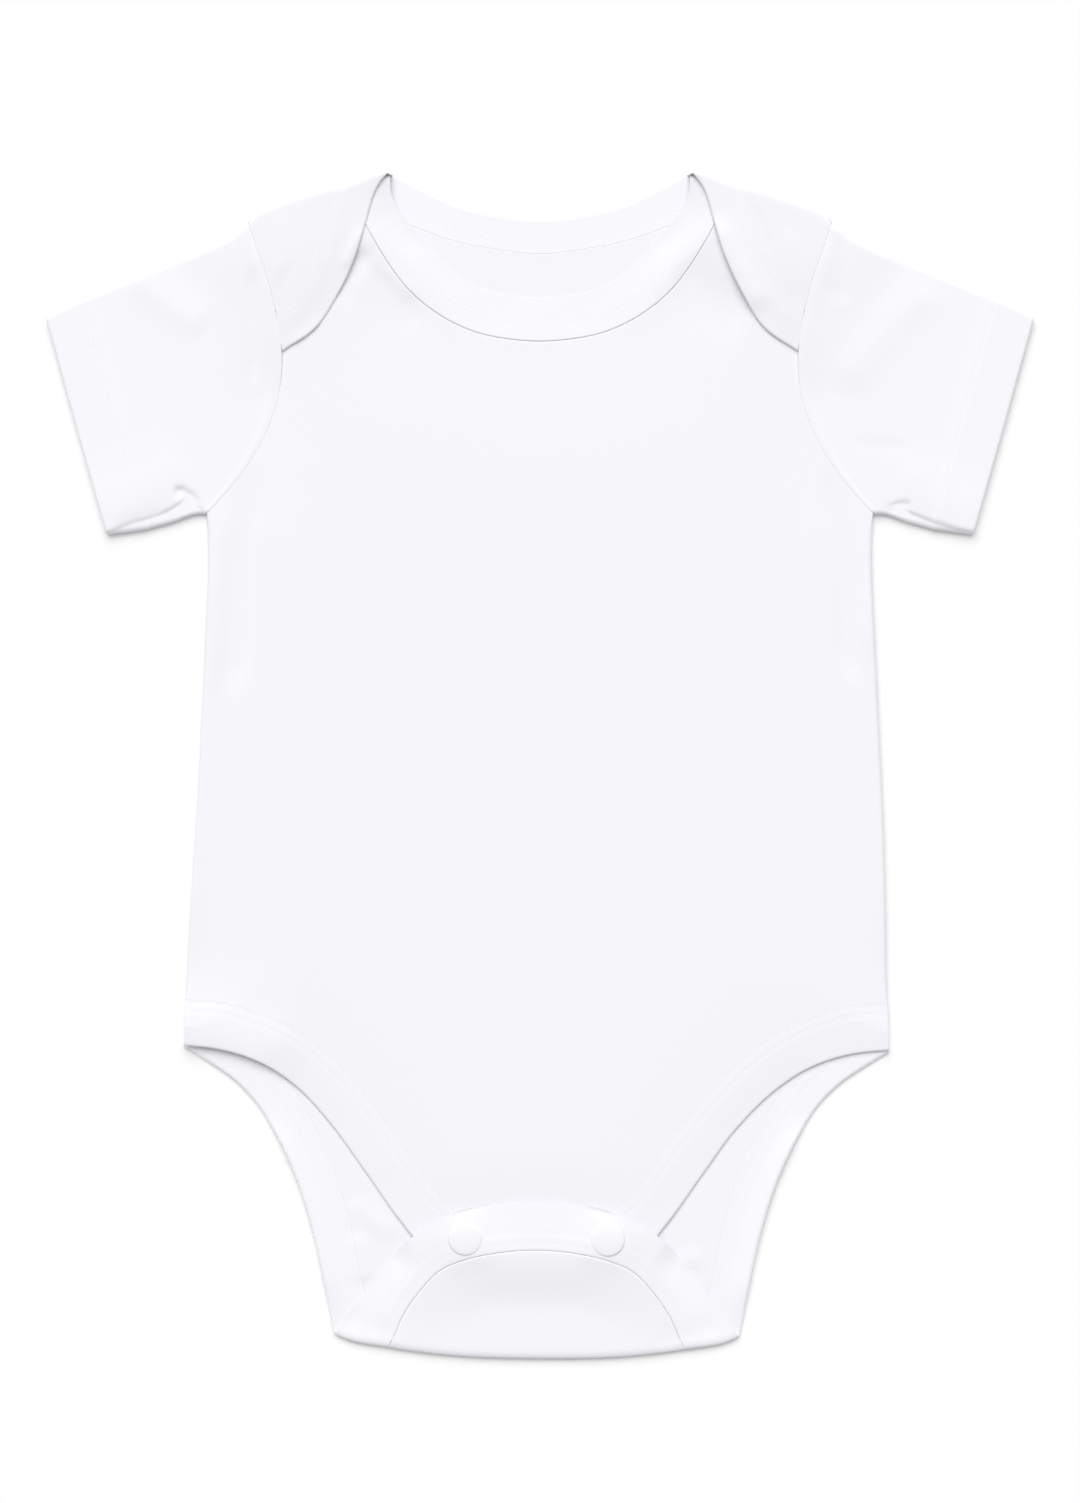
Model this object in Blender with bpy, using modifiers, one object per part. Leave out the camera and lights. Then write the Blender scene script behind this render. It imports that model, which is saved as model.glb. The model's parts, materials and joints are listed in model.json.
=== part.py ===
"""A baby's bodysuit with short sleeves, a lapped envelope neck and a snapped crotch, laid flat, face up.

Blender works in metres and the tables here are in millimetres, which MM turns into metres.
X runs across the garment, +Y to the neck and +Z up. The back rests on Z = 0 and the origin is below the
middle of the garment.

Every knitted piece is drawn as it is cut, flat. On the back, what lies past the shoulder line is a lap
and what lies past the crotch line is the flap: both fold over onto the front. The front turns over its
own shoulder line too, a little way, between back and lap. The tables give the right half of each cut.
"""

import math
from collections import namedtuple

import bmesh
import bpy
from mathutils import Vector
from mathutils.geometry import delaunay_2d_cdt, interpolate_bezier
from mathutils.kdtree import KDTree

MM = 0.001

# Cloth
JERSEY_WALL = 1.0
BINDING_WALL = 1.5
HEM_WALL = 1.25
SEAM_GAP = 0.4
SEAT_GAP = 0.3
LAYER_GAP = 0.35

# How the cloth lies. A pair gives where a change in height starts and ends.
BACK_BEND = 2.6
FRONT_BEND = 1.9
FRONT_INSET = 2.3
PUFF_RISE = 2.0
PUFF_REACH = 42.0
PUFF_RANGE = (-158.0, -95.0)
NECK_CROSSING = (74.0, 84.0)
SHOULDER_DROP = (15.0, 50.0)
HIP_OUT = (68.0, 82.0)
HIP_DOWN = (58.0, 74.0)
FLAP_RISE = (6.0, 24.0)
FLAP_FALL = (30.0, 62.0)
FLAP_LOW = 2.2
SLEEVE_REST = 1.75
SLEEVE_BEND = 1.6
SLEEVE_HEAD_RISE = 2.3
SLEEVE_HEAD_UP = (112.0, 166.0)
SLEEVE_HEAD_OUT = (96.0, 132.0)
LEAN = 1.1
LEAN_RANGE = (0.0, -80.0)

# Snaps
SNAP_OUT = 22.7
SNAP_UP = -150.9
CAP_RADIUS = 5.35
CAP_RIM = 0.5
CAP_RISE = 1.2
STUD_RADIUS = 4.8
STUD_RISE = 1.0

# Mesh
GRID_STEP = 9.5
GRID_CLEAR = 5.7
OUTLINE_STEP = 6.5
FINE_STEP = 1.0
WELD = 0.2
BEND_ROWS = (-1.0, -0.8, -0.58, -0.35, -0.12, 0.12, 0.35, 0.58, 0.8, 1.0)
TUBE_FLATS = 9
TUBE_TURNS = (90, 60, 30, 0, -30, -60, -90)
DOME_ANGLES = (70, 50, 30, 10)
RIM_UPRIGHT = 0.6
TURN_STEPS = 24

# Finishes
JERSEY = (0.92, 0.915, 0.93)
RIB = (0.93, 0.925, 0.94)
PLASTIC = (0.95, 0.95, 0.96)
CLOTH_ROUGHNESS = 0.9
PLASTIC_ROUGHNESS = 0.35

Point = namedtuple("Point", "x y")
Section = namedtuple("Section", "edge_x edge_y seam_x seam_y")
Patch = namedtuple("Patch", "top under start end")
Crease = namedtuple("Crease", "x y turn length width rise")

SIDES = ((-1, "left"), (1, "right"))


def points(*rows):
    return [Point(*row) for row in rows]


def sections(*rows):
    return [Section(*row) for row in rows]


# Lines that the cloth is folded along: x, y
SHOULDER_LINE = points(
    (46.0, 189.4),
    (49.5, 189.6),
    (57.7, 188.0),
    (66.9, 185.5),
    (77.5, 182.3),
    (86.6, 178.9),
    (91.2, 176.5),
    (93.3, 173.9),
)
CROTCH_LINE = points(
    (0.0, -189.6),
    (31.2, -188.5),
    (48.4, -186.3),
    (60.8, -184.2),
    (66.0, -182.0),
)

# Edges where panels meet: x, y
ARMHOLE = points(
    (93.3, 173.9),
    (90.3, 165.0),
    (86.6, 154.2),
    (84.0, 143.0),
    (82.4, 130.0),
    (84.5, 114.4),
    (89.1, 103.2),
    (95.1, 93.4),
    (101.0, 86.3),
    (106.4, 80.5),
)
SIDE = points(
    (106.4, 80.5),
    (106.1, 66.0),
    (106.9, 41.0),
    (107.8, 21.0),
    (110.9, -43.0),
    (112.2, -77.8),
)
LAP_ARMHOLE = points(
    (84.6, 214.1),
    (86.6, 203.6),
    (90.3, 189.0),
    (93.3, 173.9),
)
FRONT_TURN = points(
    (63.4, 196.2),
    (72.0, 194.0),
    (81.0, 191.0),
    (89.7, 187.1),
)
TURN_ARMHOLE = points(
    (89.7, 187.1),
    (92.0, 176.8),
    (92.9, 172.0),
)
SLEEVE_TOP = points(
    (93.3, 173.9),
    (99.5, 169.6),
    (106.2, 166.0),
    (119.7, 160.4),
    (131.2, 155.4),
    (146.3, 149.2),
)
SLEEVE_UNDER = points(
    (106.4, 80.5),
    (110.0, 80.3),
    (117.1, 77.9),
    (126.0, 75.5),
)
SLEEVE_END = points(
    (146.3, 149.2),
    (141.0, 131.0),
    (136.4, 114.6),
    (126.0, 75.5),
)
HEM_TOP = points(
    (146.3, 149.2),
    (152.0, 146.8),
    (158.1, 143.6),
)
HEM_UNDER = points(
    (126.0, 75.5),
    (132.0, 74.6),
    (138.6, 73.9),
)
CUFF = points(
    (158.1, 143.6),
    (153.1, 125.6),
    (148.7, 109.7),
    (138.6, 73.9),
)

# Bindings, a row for each section across one: edge_x, edge_y, seam_x, seam_y
NECK_BACK = sections(
    (0.0, 173.9, 0.0, 163.7),
    (13.0, 175.3, 14.0, 165.2),
    (26.0, 178.2, 29.0, 168.2),
    (37.2, 183.2, 42.0, 173.0),
    (45.8, 188.0, 53.0, 177.6),
    (52.0, 194.4, 62.5, 186.5),
    (56.0, 203.3, 68.3, 198.0),
    (60.3, 212.4, 71.8, 205.7),
    (65.8, 220.4, 76.0, 211.3),
    (73.0, 227.0, 79.8, 214.6),
    (82.2, 229.4, 84.6, 214.1),
)
NECK_FRONT = sections(
    (0.0, 149.1, 0.0, 135.5),
    (8.4, 149.6, 9.7, 136.0),
    (15.6, 150.9, 19.3, 137.8),
    (24.7, 155.3, 31.9, 143.7),
    (31.2, 160.6, 41.5, 151.3),
    (36.6, 167.2, 48.0, 160.0),
    (41.0, 172.6, 53.4, 168.3),
    (45.0, 177.3, 56.0, 173.3),
    (47.6, 183.0, 58.9, 179.6),
    (49.4, 190.0, 60.8, 187.0),
    (52.0, 198.6, 63.4, 196.2),
)
LEG_BACK = sections(
    (112.6, -90.2, 112.2, -77.8),
    (106.4, -93.1, 102.5, -81.3),
    (98.7, -97.5, 91.8, -87.5),
    (90.3, -105.3, 80.8, -97.5),
    (83.2, -116.4, 72.3, -110.7),
    (77.6, -128.8, 66.2, -124.4),
    (72.0, -147.0, 60.2, -144.0),
    (67.4, -167.9, 55.6, -165.7),
    (64.6, -182.6, 52.0, -180.3),
    (60.1, -193.5, 48.2, -188.5),
    (53.1, -205.4, 42.6, -198.4),
    (45.9, -216.3, 37.2, -207.6),
    (37.1, -226.9, 30.5, -215.8),
    (26.8, -234.7, 22.3, -220.5),
    (14.0, -238.6, 12.0, -223.4),
    (0.0, -240.2, 0.0, -224.5),
)
LEG_FRONT = sections(
    (112.4, -90.2, 112.2, -75.4),
    (102.7, -90.8, 99.7, -76.3),
    (93.5, -93.6, 88.5, -79.7),
    (85.2, -97.3, 78.0, -84.3),
    (77.5, -102.8, 67.8, -91.6),
    (64.3, -116.1, 53.0, -106.6),
    (53.2, -131.1, 41.2, -122.5),
    (41.9, -146.3, 30.1, -137.3),
    (36.3, -153.0, 25.0, -142.2),
    (28.0, -158.5, 20.0, -144.9),
    (14.0, -160.6, 10.0, -145.8),
    (0.0, -160.8, 0.0, -146.0),
)

# Soft folds in the upper layer: x and y of the middle, turn in degrees from X, then length, width and rise.
CREASES = (
    Crease(-97.5, 56.0, 86.0, 34.0, 6.0, -0.55),
    Crease(97.5, 60.0, 96.0, 28.0, 6.0, -0.5),
    Crease(-57.0, 150.0, 112.0, 22.0, 8.0, 0.5),
    Crease(59.0, 148.0, 66.0, 26.0, 8.0, 0.55),
    Crease(-93.5, 140.0, 97.0, 30.0, 5.0, -0.5),
    Crease(95.5, 150.0, 82.0, 20.0, 5.0, -0.5),
    Crease(-121.0, 143.0, -34.0, 18.0, 5.0, 0.5),
    Crease(104.0, 104.0, -12.0, 18.0, 6.0, 0.5),
)


# Curves and small sums


def smooth(value, start, end):
    """0 before start, 1 past end, and an even slope between."""
    share = min(max((value - start) / (end - start), 0.0), 1.0)
    return share * share * (3.0 - 2.0 * share)


def through(rows, step):
    """Points about one step apart on a smooth curve through the rows."""
    knots = [Vector((row[0], row[1])) for row in rows]
    padded = [2 * knots[0] - knots[1], *knots, 2 * knots[-1] - knots[-2]]
    curve = []
    for before, start, end, after in zip(padded, padded[1:], padded[2:], padded[3:]):
        reach = (end - start).length / 3.0
        leave = start + (end - before).normalized() * reach
        arrive = end - (after - start).normalized() * reach
        count = max(2, round((end - start).length / step) + 1)
        curve += interpolate_bezier(start, leave, arrive, end, count)[:-1]
    return [Point(place[0], place[1]) for place in curve] + [Point(*rows[-1][:2])]


def along(curve, share):
    """The point at a share of the curve's length."""
    runs = [math.dist(a, b) for a, b in zip(curve, curve[1:])]
    left = share * sum(runs)
    for a, b, run in zip(curve, curve[1:], runs):
        if left <= run:
            return Vector(a).lerp(Vector(b), left / run)
        left -= run
    return Vector(curve[-1])


def level_at(line, x):
    """The y of a line that runs towards +X, at x, held level past its ends."""
    x = min(max(abs(x), line[0].x), line[-1].x)
    for a, b in zip(line, line[1:]):
        if x <= b.x:
            return a.y + (b.y - a.y) * (x - a.x) / (b.x - a.x)
    return line[-1].y


def edge_of(table):
    return [Point(row.edge_x, row.edge_y) for row in table]


def seam_of(table):
    return [Point(row.seam_x, row.seam_y) for row in table]


def join(*runs):
    """Runs that meet end to end, as one, with each shared point once."""
    joined = list(runs[0])
    for run in runs[1:]:
        joined += [place for place in run if math.dist(place, joined[-1]) > SEAM_GAP]
    return joined


def both_halves(half):
    """A closed outline from its right half, which starts and ends on the middle line."""
    return list(half) + [Point(-place.x, place.y) for place in reversed(half[1:-1])]


def inset(outline):
    """A closed outline drawn in by half a seam's gap."""
    area = sum(a.x * b.y - b.x * a.y for a, b in zip(outline, outline[1:] + outline[:1]))
    inward = math.copysign(SEAM_GAP / 2.0, area)
    drawn = []
    for before, here, after in zip(outline[-1:] + outline, outline, outline[1:] + outline[:1]):
        arrive = (Vector(here) - Vector(before)).normalized()
        leave = (Vector(after) - Vector(here)).normalized()
        mitre = (arrive + leave) / max(1.0 + arrive.dot(leave), 0.5)
        drawn.append(Point(here.x - mitre.y * inward, here.y + mitre.x * inward))
    return drawn


SHOULDER = through(SHOULDER_LINE, FINE_STEP)
CROTCH = through(CROTCH_LINE, FINE_STEP)


# Heights: what each layer rests on, at a place in plan


def near_neck(x):
    """1 where the neck bindings cross at the shoulder, 0 further out."""
    return 1.0 - smooth(abs(x), *NECK_CROSSING)


def thick(x):
    """How much more a binding is than a panel, where bindings lie on each other at the neck."""
    return near_neck(x) * (BINDING_WALL - JERSEY_WALL)


def front_edges():
    """Points close together all round the finished front, which the puff rises away from."""
    half = join(
        through(edge_of(NECK_FRONT[:8]), FINE_STEP),
        through(SHOULDER_LINE[2:], FINE_STEP),
        through(ARMHOLE, FINE_STEP),
        through(SIDE, FINE_STEP),
        through(edge_of(LEG_FRONT), FINE_STEP),
    )
    rim = both_halves(half)
    tree = KDTree(len(rim))
    for index, place in enumerate(rim):
        tree.insert((place.x, place.y, 0.0), index)
    tree.balance()
    return tree


FRONT_RIM = front_edges()


def puff(x, y):
    """How far the front stands off the back: nothing at its edges, most in the middle."""
    away = min(FRONT_RIM.find((x, y, 0.0))[2] / PUFF_REACH, 1.0)
    return PUFF_RISE * (1.0 - (1.0 - away) ** 2) * smooth(y, *PUFF_RANGE)


def creases(x, y):
    total = 0.0
    for fold in CREASES:
        turn = math.radians(fold.turn)
        out_x, out_y = x - fold.x, y - fold.y
        run = out_x * math.cos(turn) + out_y * math.sin(turn)
        side = out_y * math.cos(turn) - out_x * math.sin(turn)
        total += fold.rise * math.exp(-((side / fold.width) ** 2) - (run / fold.length) ** 4)
    return total


def turn_rest(x):
    """What the front's turn lies on: the back."""
    return JERSEY_WALL + LAYER_GAP + thick(x)


def front_rest(x, y):
    """What the front lies on: its own turn at the shoulder, and the back or the back's leg binding below."""
    over_turn = turn_rest(x) + JERSEY_WALL + LAYER_GAP + thick(x)
    over_binding = smooth(abs(x), *HIP_OUT) * smooth(-y, *HIP_DOWN)
    on_back = JERSEY_WALL + LAYER_GAP + over_binding * (BINDING_WALL - JERSEY_WALL)
    body = on_back + max(puff(x, y) + creases(x, y), 0.0)
    below = level_at(SHOULDER, x) - y
    share = smooth(below, *SHOULDER_DROP)
    return over_turn + (body - over_turn) * share


def lap_rest(x, y):
    return front_rest(x, y) + JERSEY_WALL + LAYER_GAP + thick(x)


def flap_rest(x, y):
    """Low at the crotch line, and up over the front's binding and the snap studs."""
    under_snaps = JERSEY_WALL + LAYER_GAP + BINDING_WALL + SEAT_GAP + STUD_RISE + SEAT_GAP
    rise = smooth(y - level_at(CROTCH, x), *FLAP_RISE)
    fall = 1.0 - smooth(abs(x), *FLAP_FALL)
    return FLAP_LOW + (under_snaps - FLAP_LOW) * rise * fall


def sleeve_rest(x, y):
    """Under the upper layer of a sleeve: as high as the body's where it joins it, low at the hem."""
    head = smooth(y, *SLEEVE_HEAD_UP) * SLEEVE_HEAD_RISE
    out = smooth(abs(x), *SLEEVE_HEAD_OUT)
    return SLEEVE_REST + head * (1.0 - out) + max(creases(x, y), -LAYER_GAP) * out


# Folding


def over_fold(past, bend):
    """Past a fold the cloth comes back: how far it lies from the fold, and how much of the way up it is."""
    if abs(past) >= bend:
        return -abs(past), float(past > 0)
    turn = past / bend * math.pi / 2.0
    return -bend * (1.0 - math.cos(turn)), (1.0 + math.sin(turn)) / 2.0


def lay_back(x, y, wall):
    """A point on the outside of the back: underneath, or past a fold on top of the front."""
    if y > 0:
        line = level_at(SHOULDER, x)
        plan, share = over_fold(y - line, BACK_BEND)
        plan = line + plan
        return plan, share * (lap_rest(x, plan) + wall)
    line = level_at(CROTCH, x)
    plan, share = over_fold(line - y, BACK_BEND)
    plan = line - plan
    return plan, share * (flap_rest(x, plan) + wall)


def lay_front(x, y, wall):
    """A point on the outside of the front: on top, or past its shoulder line and turned under."""
    line = level_at(SHOULDER, x) - FRONT_INSET
    plan, share = over_fold(y - line, FRONT_BEND)
    plan = line + plan
    top = front_rest(x, plan) + wall
    return plan, top + share * (turn_rest(x) - top)


def settle(x, y, z):
    """The place of a point in metres, with the slight lean of the garment's lower half."""
    return Vector((x - LEAN * smooth(y, *LEAN_RANGE), y, z)) * MM


# Building


def clear_scene():
    for found in list(bpy.data.objects):
        bpy.data.objects.remove(found, do_unlink=True)


def collection(name):
    made = bpy.data.collections.new(name)
    bpy.context.scene.collection.children.link(made)
    return made


def material(name, colour, roughness):
    made = bpy.data.materials.new(name)
    made.use_nodes = True
    shader = made.node_tree.nodes["Principled BSDF"]
    shader.inputs["Base Color"].default_value = (*colour, 1.0)
    shader.inputs["Roughness"].default_value = roughness
    return made


def cloth(name, colour):
    return material(name, colour, CLOTH_ROUGHNESS)


def node(name, mesh, finish, parts):
    made = bpy.data.objects.new(name, mesh)
    made.data.materials.append(finish)
    parts.objects.link(made)
    return made


def thicken(piece, wall):
    """Gives a surface its wall, on the inside of it."""
    made = piece.modifiers.new("wall", "SOLIDIFY")
    made.thickness = wall * MM
    made.offset = -1.0
    made.use_even_offset = True
    made.use_quality_normals = True


def bend_rows(line, inset_by, bend):
    """Rows of points that follow a fold and share out its bend, as places and the edges between them."""
    spots, edges = [], []
    for side in (1, -1):
        for row in BEND_ROWS:
            first = len(spots)
            for place in line[:: round(OUTLINE_STEP / FINE_STEP)] + [line[-1]]:
                outward = math.copysign(1.0, place.y)
                spots.append((side * place.x, place.y + outward * (row * bend - inset_by)))
            edges += [(k, k + 1) for k in range(first, len(spots) - 1)]
    return spots, edges


def grid_inside(outline, folds):
    """Evenly spaced points inside an outline, clear of it and of the folds."""
    rim = KDTree(len(outline))
    for index, place in enumerate(outline):
        rim.insert((place.x, place.y, 0.0), index)
    rim.balance()
    low_x = min(place.x for place in outline)
    low_y = min(place.y for place in outline)
    across = math.ceil((max(place.x for place in outline) - low_x) / GRID_STEP)
    up = math.ceil((max(place.y for place in outline) - low_y) / GRID_STEP)
    middle = (across * GRID_STEP) / 2.0
    found = []
    for row in range(up + 1):
        for column in range(across + 1):
            x = column * GRID_STEP - middle
            y = low_y + row * GRID_STEP
            near_fold = any(abs(abs(y) - abs(level_at(line, x))) < GRID_STEP for line in folds)
            if near_fold or rim.find((x, y, 0.0))[2] < GRID_CLEAR:
                continue
            if inside(outline, x, y):
                found.append((x, y))
    return found


def inside(outline, x, y):
    crossings = 0
    for a, b in zip(outline, outline[1:] + outline[:1]):
        if (a.y > y) != (b.y > y) and x < a.x + (b.x - a.x) * (y - a.y) / (b.y - a.y):
            crossings += 1
    return crossings % 2 == 1


def cut(name, outline, folds, lay, wall):
    """One flat-cut piece, folded and laid, as the surface that its wall goes inwards from."""
    places = [(place.x, place.y) for place in outline]
    edges = [(k, (k + 1) % len(outline)) for k in range(len(outline))]
    for line, inset_by, bend in folds:
        spots, rows = bend_rows(line, inset_by, bend)
        edges += [(a + len(places), b + len(places)) for a, b in rows]
        places += spots
    places += grid_inside(outline, [fold[0] for fold in folds])
    spread = delaunay_2d_cdt([Vector(place) for place in places], edges, [], 1, 1e-4, False)
    bm = bmesh.new()
    corners = [bm.verts.new((place[0], place[1], 0.0)) for place in spread[0]]
    for face in spread[2]:
        middle = sum((Vector(spread[0][k]) for k in face), Vector((0.0, 0.0))) / len(face)
        if inside(outline, middle.x, middle.y):
            bm.faces.new([corners[k] for k in face])
    bmesh.ops.delete(bm, geom=[v for v in bm.verts if not v.link_faces], context="VERTS")
    bmesh.ops.remove_doubles(bm, verts=bm.verts, dist=WELD)
    bm.normal_update()
    faces_up = lay is lay_front
    wrong_way = [face for face in bm.faces if (face.normal.z > 0) != faces_up]
    bmesh.ops.reverse_faces(bm, faces=wrong_way)
    for corner in bm.verts:
        plan, height = lay(corner.co.x, corner.co.y, wall)
        corner.co = settle(corner.co.x, plan, height)
    mesh = bpy.data.meshes.new(name)
    bm.to_mesh(mesh)
    bm.free()
    mesh.shade_smooth()
    return mesh


def band_outline(table):
    """A binding's closed outline, from its right half's sections."""
    edge = both_run(through(edge_of(table), OUTLINE_STEP))
    seam = both_run(through(seam_of(table), OUTLINE_STEP))
    return inset(edge + seam[::-1])


def both_run(half):
    """A run from one end to the other across the middle line, from its right half."""
    outward = list(half) if half[0].x < half[-1].x else list(reversed(half))
    return [Point(-place.x, place.y) for place in reversed(outward[1:])] + outward


def back_outline():
    half = join(
        through(seam_of(NECK_BACK), OUTLINE_STEP),
        through(LAP_ARMHOLE, OUTLINE_STEP),
        through(ARMHOLE, OUTLINE_STEP),
        through(SIDE, OUTLINE_STEP),
        through(seam_of(LEG_BACK), OUTLINE_STEP),
    )
    return inset(both_halves(half))


def front_outline():
    turn = through(TURN_ARMHOLE, OUTLINE_STEP)
    leg = through(seam_of(LEG_FRONT), OUTLINE_STEP)
    half = join(
        through(seam_of(NECK_FRONT), OUTLINE_STEP),
        through(FRONT_TURN, OUTLINE_STEP),
        turn,
        [place for place in through(ARMHOLE, OUTLINE_STEP) if place.y < turn[-1].y],
        [place for place in through(SIDE, OUTLINE_STEP) if place.y > leg[0].y],
        leg,
    )
    return inset(both_halves(half))


def patch_point(patch, u, w):
    """A point of the patch between four edges: u runs along the top and underside, w down the two ends."""
    ruled = along(patch.top, u).lerp(along(patch.under, u), w)
    ruled += along(patch.start, w).lerp(along(patch.end, w), u)
    near = Vector(patch.top[0]).lerp(Vector(patch.under[0]), w)
    far = Vector(patch.top[-1]).lerp(Vector(patch.under[-1]), w)
    return ruled - near.lerp(far, u)


def round_tube(width):
    """Once round a flattened tube of this width: how far down it, and how much of the way up."""
    bend = SLEEVE_BEND / width
    flats = [bend + (1.0 - 2.0 * bend) * step / TUBE_FLATS for step in range(TUBE_FLATS)]
    turns = [math.radians(angle) for angle in TUBE_TURNS]
    folds = [(bend * (1.0 - math.cos(turn)), (1.0 + math.sin(turn)) / 2.0) for turn in turns]
    upper = [(down, 1.0) for down in flats]
    lower = [(1.0 - down, 0.0) for down in flats[1:]]
    return upper + [(1.0 - down, up) for down, up in folds] + lower + folds[:0:-1]


def tube(name, side, patch, rest, wall):
    """A sleeve or its hem, pressed flat, as rings from the body outwards."""
    patch = Patch(*(through(edge, FINE_STEP) for edge in patch))
    steps = max(1, round(math.dist(patch.top[0], patch.top[-1]) / GRID_STEP))
    clear = SEAM_GAP / 2.0 / math.dist(patch.under[0], patch.under[-1])
    bm = bmesh.new()
    rings = []
    for index in range(steps + 1):
        u = clear + (1.0 - 2.0 * clear) * index / steps
        corners = []
        for w, up in round_tube((along(patch.top, u) - along(patch.under, u)).length):
            spot = patch_point(patch, u, w)
            height = up * (rest(spot.x * side, spot.y) + wall)
            corners.append(bm.verts.new(settle(spot.x * side, spot.y, height)))
        rings.append(corners)
    for near, far in zip(rings, rings[1:]):
        for k, corner in enumerate(near):
            after = (k + 1) % len(near)
            bm.faces.new((corner, near[after], far[after], far[k]))
    if side < 0:
        bmesh.ops.reverse_faces(bm, faces=bm.faces)
    mesh = bpy.data.meshes.new(name)
    bm.to_mesh(mesh)
    bm.free()
    mesh.shade_smooth()
    return mesh


def disc(name, radius, rise):
    """The profile of a low dome, for a Screw: down its outer side and back to the axis."""
    profile = [(0.0, rise)]
    for angle in DOME_ANGLES:
        turn = math.radians(angle)
        profile.append((radius * math.cos(turn), CAP_RIM + (rise - CAP_RIM) * math.sin(turn)))
    profile += [(radius, CAP_RIM * RIM_UPRIGHT), (radius, 0.0), (0.0, 0.0)]
    mesh = bpy.data.meshes.new(name)
    places = [(x * MM, 0.0, z * MM) for x, z in profile]
    mesh.from_pydata(places, [(k, k + 1) for k in range(len(places) - 1)], [])
    return mesh


def turned(piece):
    made = piece.modifiers.new("turn", "SCREW")
    made.steps = TURN_STEPS
    made.render_steps = TURN_STEPS
    made.use_merge_vertices = True
    made.merge_threshold = 1e-5
    made.use_smooth_shade = True


# Pieces


def make_panels_and_bindings(parts):
    over_shoulder = (SHOULDER, 0.0, BACK_BEND)
    under_crotch = (CROTCH, 0.0, BACK_BEND)
    over_turn = (SHOULDER, FRONT_INSET, FRONT_BEND)
    both = (over_shoulder, under_crotch)

    for name, outline, folds, lay in (
        ("back_panel", back_outline(), both, lay_back),
        ("front_panel", front_outline(), (over_turn,), lay_front),
    ):
        mesh = cut(name, outline, folds, lay, JERSEY_WALL)
        thicken(node(name, mesh, cloth(name, JERSEY), parts), JERSEY_WALL)

    for name, table, folds, lay in (
        ("neck_binding_back", NECK_BACK, (over_shoulder,), lay_back),
        ("neck_binding_front", NECK_FRONT, (over_turn,), lay_front),
        ("leg_binding_back", LEG_BACK, (under_crotch,), lay_back),
        ("leg_binding_front", LEG_FRONT, (), lay_front),
    ):
        mesh = cut(name, band_outline(table), folds, lay, BINDING_WALL)
        thicken(node(name, mesh, cloth(name, RIB), parts), BINDING_WALL)


def make_sleeves(parts):
    sleeve = Patch(SLEEVE_TOP, SLEEVE_UNDER, ARMHOLE, SLEEVE_END)
    hem = Patch(HEM_TOP, HEM_UNDER, SLEEVE_END, CUFF)
    for side, hand in SIDES:
        for name, patch, wall in (
            ("sleeve_" + hand, sleeve, JERSEY_WALL),
            ("sleeve_hem_" + hand, hem, HEM_WALL),
        ):
            mesh = tube(name, side, patch, sleeve_rest, wall)
            thicken(node(name, mesh, cloth(name, JERSEY), parts), wall)


def make_snaps(parts):
    flap = flap_rest(SNAP_OUT, SNAP_UP)
    for side, hand in SIDES:
        for name, radius, rise, bottom in (
            ("snap_cap_" + hand, CAP_RADIUS, CAP_RISE, flap + BINDING_WALL + SEAT_GAP),
            ("snap_stud_" + hand, STUD_RADIUS, STUD_RISE, flap - SEAT_GAP - STUD_RISE),
        ):
            finish = material(name, PLASTIC, PLASTIC_ROUGHNESS)
            snap = node(name, disc(name, radius, rise), finish, parts)
            snap.location = settle(side * SNAP_OUT, SNAP_UP, bottom)
            turned(snap)


def build():
    clear_scene()
    parts = collection("baby_bodysuit")
    make_panels_and_bindings(parts)
    make_sleeves(parts)
    make_snaps(parts)


build()
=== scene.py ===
"""Dresses a baby's bodysuit that lies flat, face up: jersey, rib bindings, stitching, snaps and light.

The tables are in millimetres, which MM turns into Blender's metres. Each gives the right half of a piece as
it is cut, flat. On the back, what lies past the shoulder line is a lap and what lies past the crotch line is
the flap, and both fold over onto the front.
"""

import json
import math
from collections import namedtuple

import bpy
import numpy as np
from bpy.props import FloatProperty, PointerProperty, StringProperty
from bpy.types import Operator, Panel, PropertyGroup
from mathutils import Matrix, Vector
from mathutils.geometry import delaunay_2d_cdt
from mathutils.kdtree import KDTree

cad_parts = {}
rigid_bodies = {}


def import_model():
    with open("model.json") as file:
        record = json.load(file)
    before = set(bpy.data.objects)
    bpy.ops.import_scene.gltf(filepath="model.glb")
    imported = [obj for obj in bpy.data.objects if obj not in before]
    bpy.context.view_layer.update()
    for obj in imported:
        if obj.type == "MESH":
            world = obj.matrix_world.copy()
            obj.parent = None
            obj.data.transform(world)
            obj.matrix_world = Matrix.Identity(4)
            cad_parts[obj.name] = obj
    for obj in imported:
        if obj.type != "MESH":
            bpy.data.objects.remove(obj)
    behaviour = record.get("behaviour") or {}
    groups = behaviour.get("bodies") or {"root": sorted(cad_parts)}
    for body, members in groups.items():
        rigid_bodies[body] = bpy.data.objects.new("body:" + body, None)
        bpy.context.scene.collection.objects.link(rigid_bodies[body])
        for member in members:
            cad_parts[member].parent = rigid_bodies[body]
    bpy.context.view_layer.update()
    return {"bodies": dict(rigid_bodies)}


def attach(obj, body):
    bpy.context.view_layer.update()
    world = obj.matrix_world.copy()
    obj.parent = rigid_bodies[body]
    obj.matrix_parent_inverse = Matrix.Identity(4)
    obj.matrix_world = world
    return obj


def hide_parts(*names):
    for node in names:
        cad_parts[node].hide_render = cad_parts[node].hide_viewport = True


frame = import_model()

bl_info = {
    "name": "Baby bodysuit cloth",
    "version": (1, 0, 0),
    "blender": (4, 5, 0),
    "location": "View3D > Sidebar > Bodysuit",
    "description": "Jersey, rib bindings, stitching and snaps for a baby's bodysuit that lies flat",
    "category": "Object",
}

MM = 0.001

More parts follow.
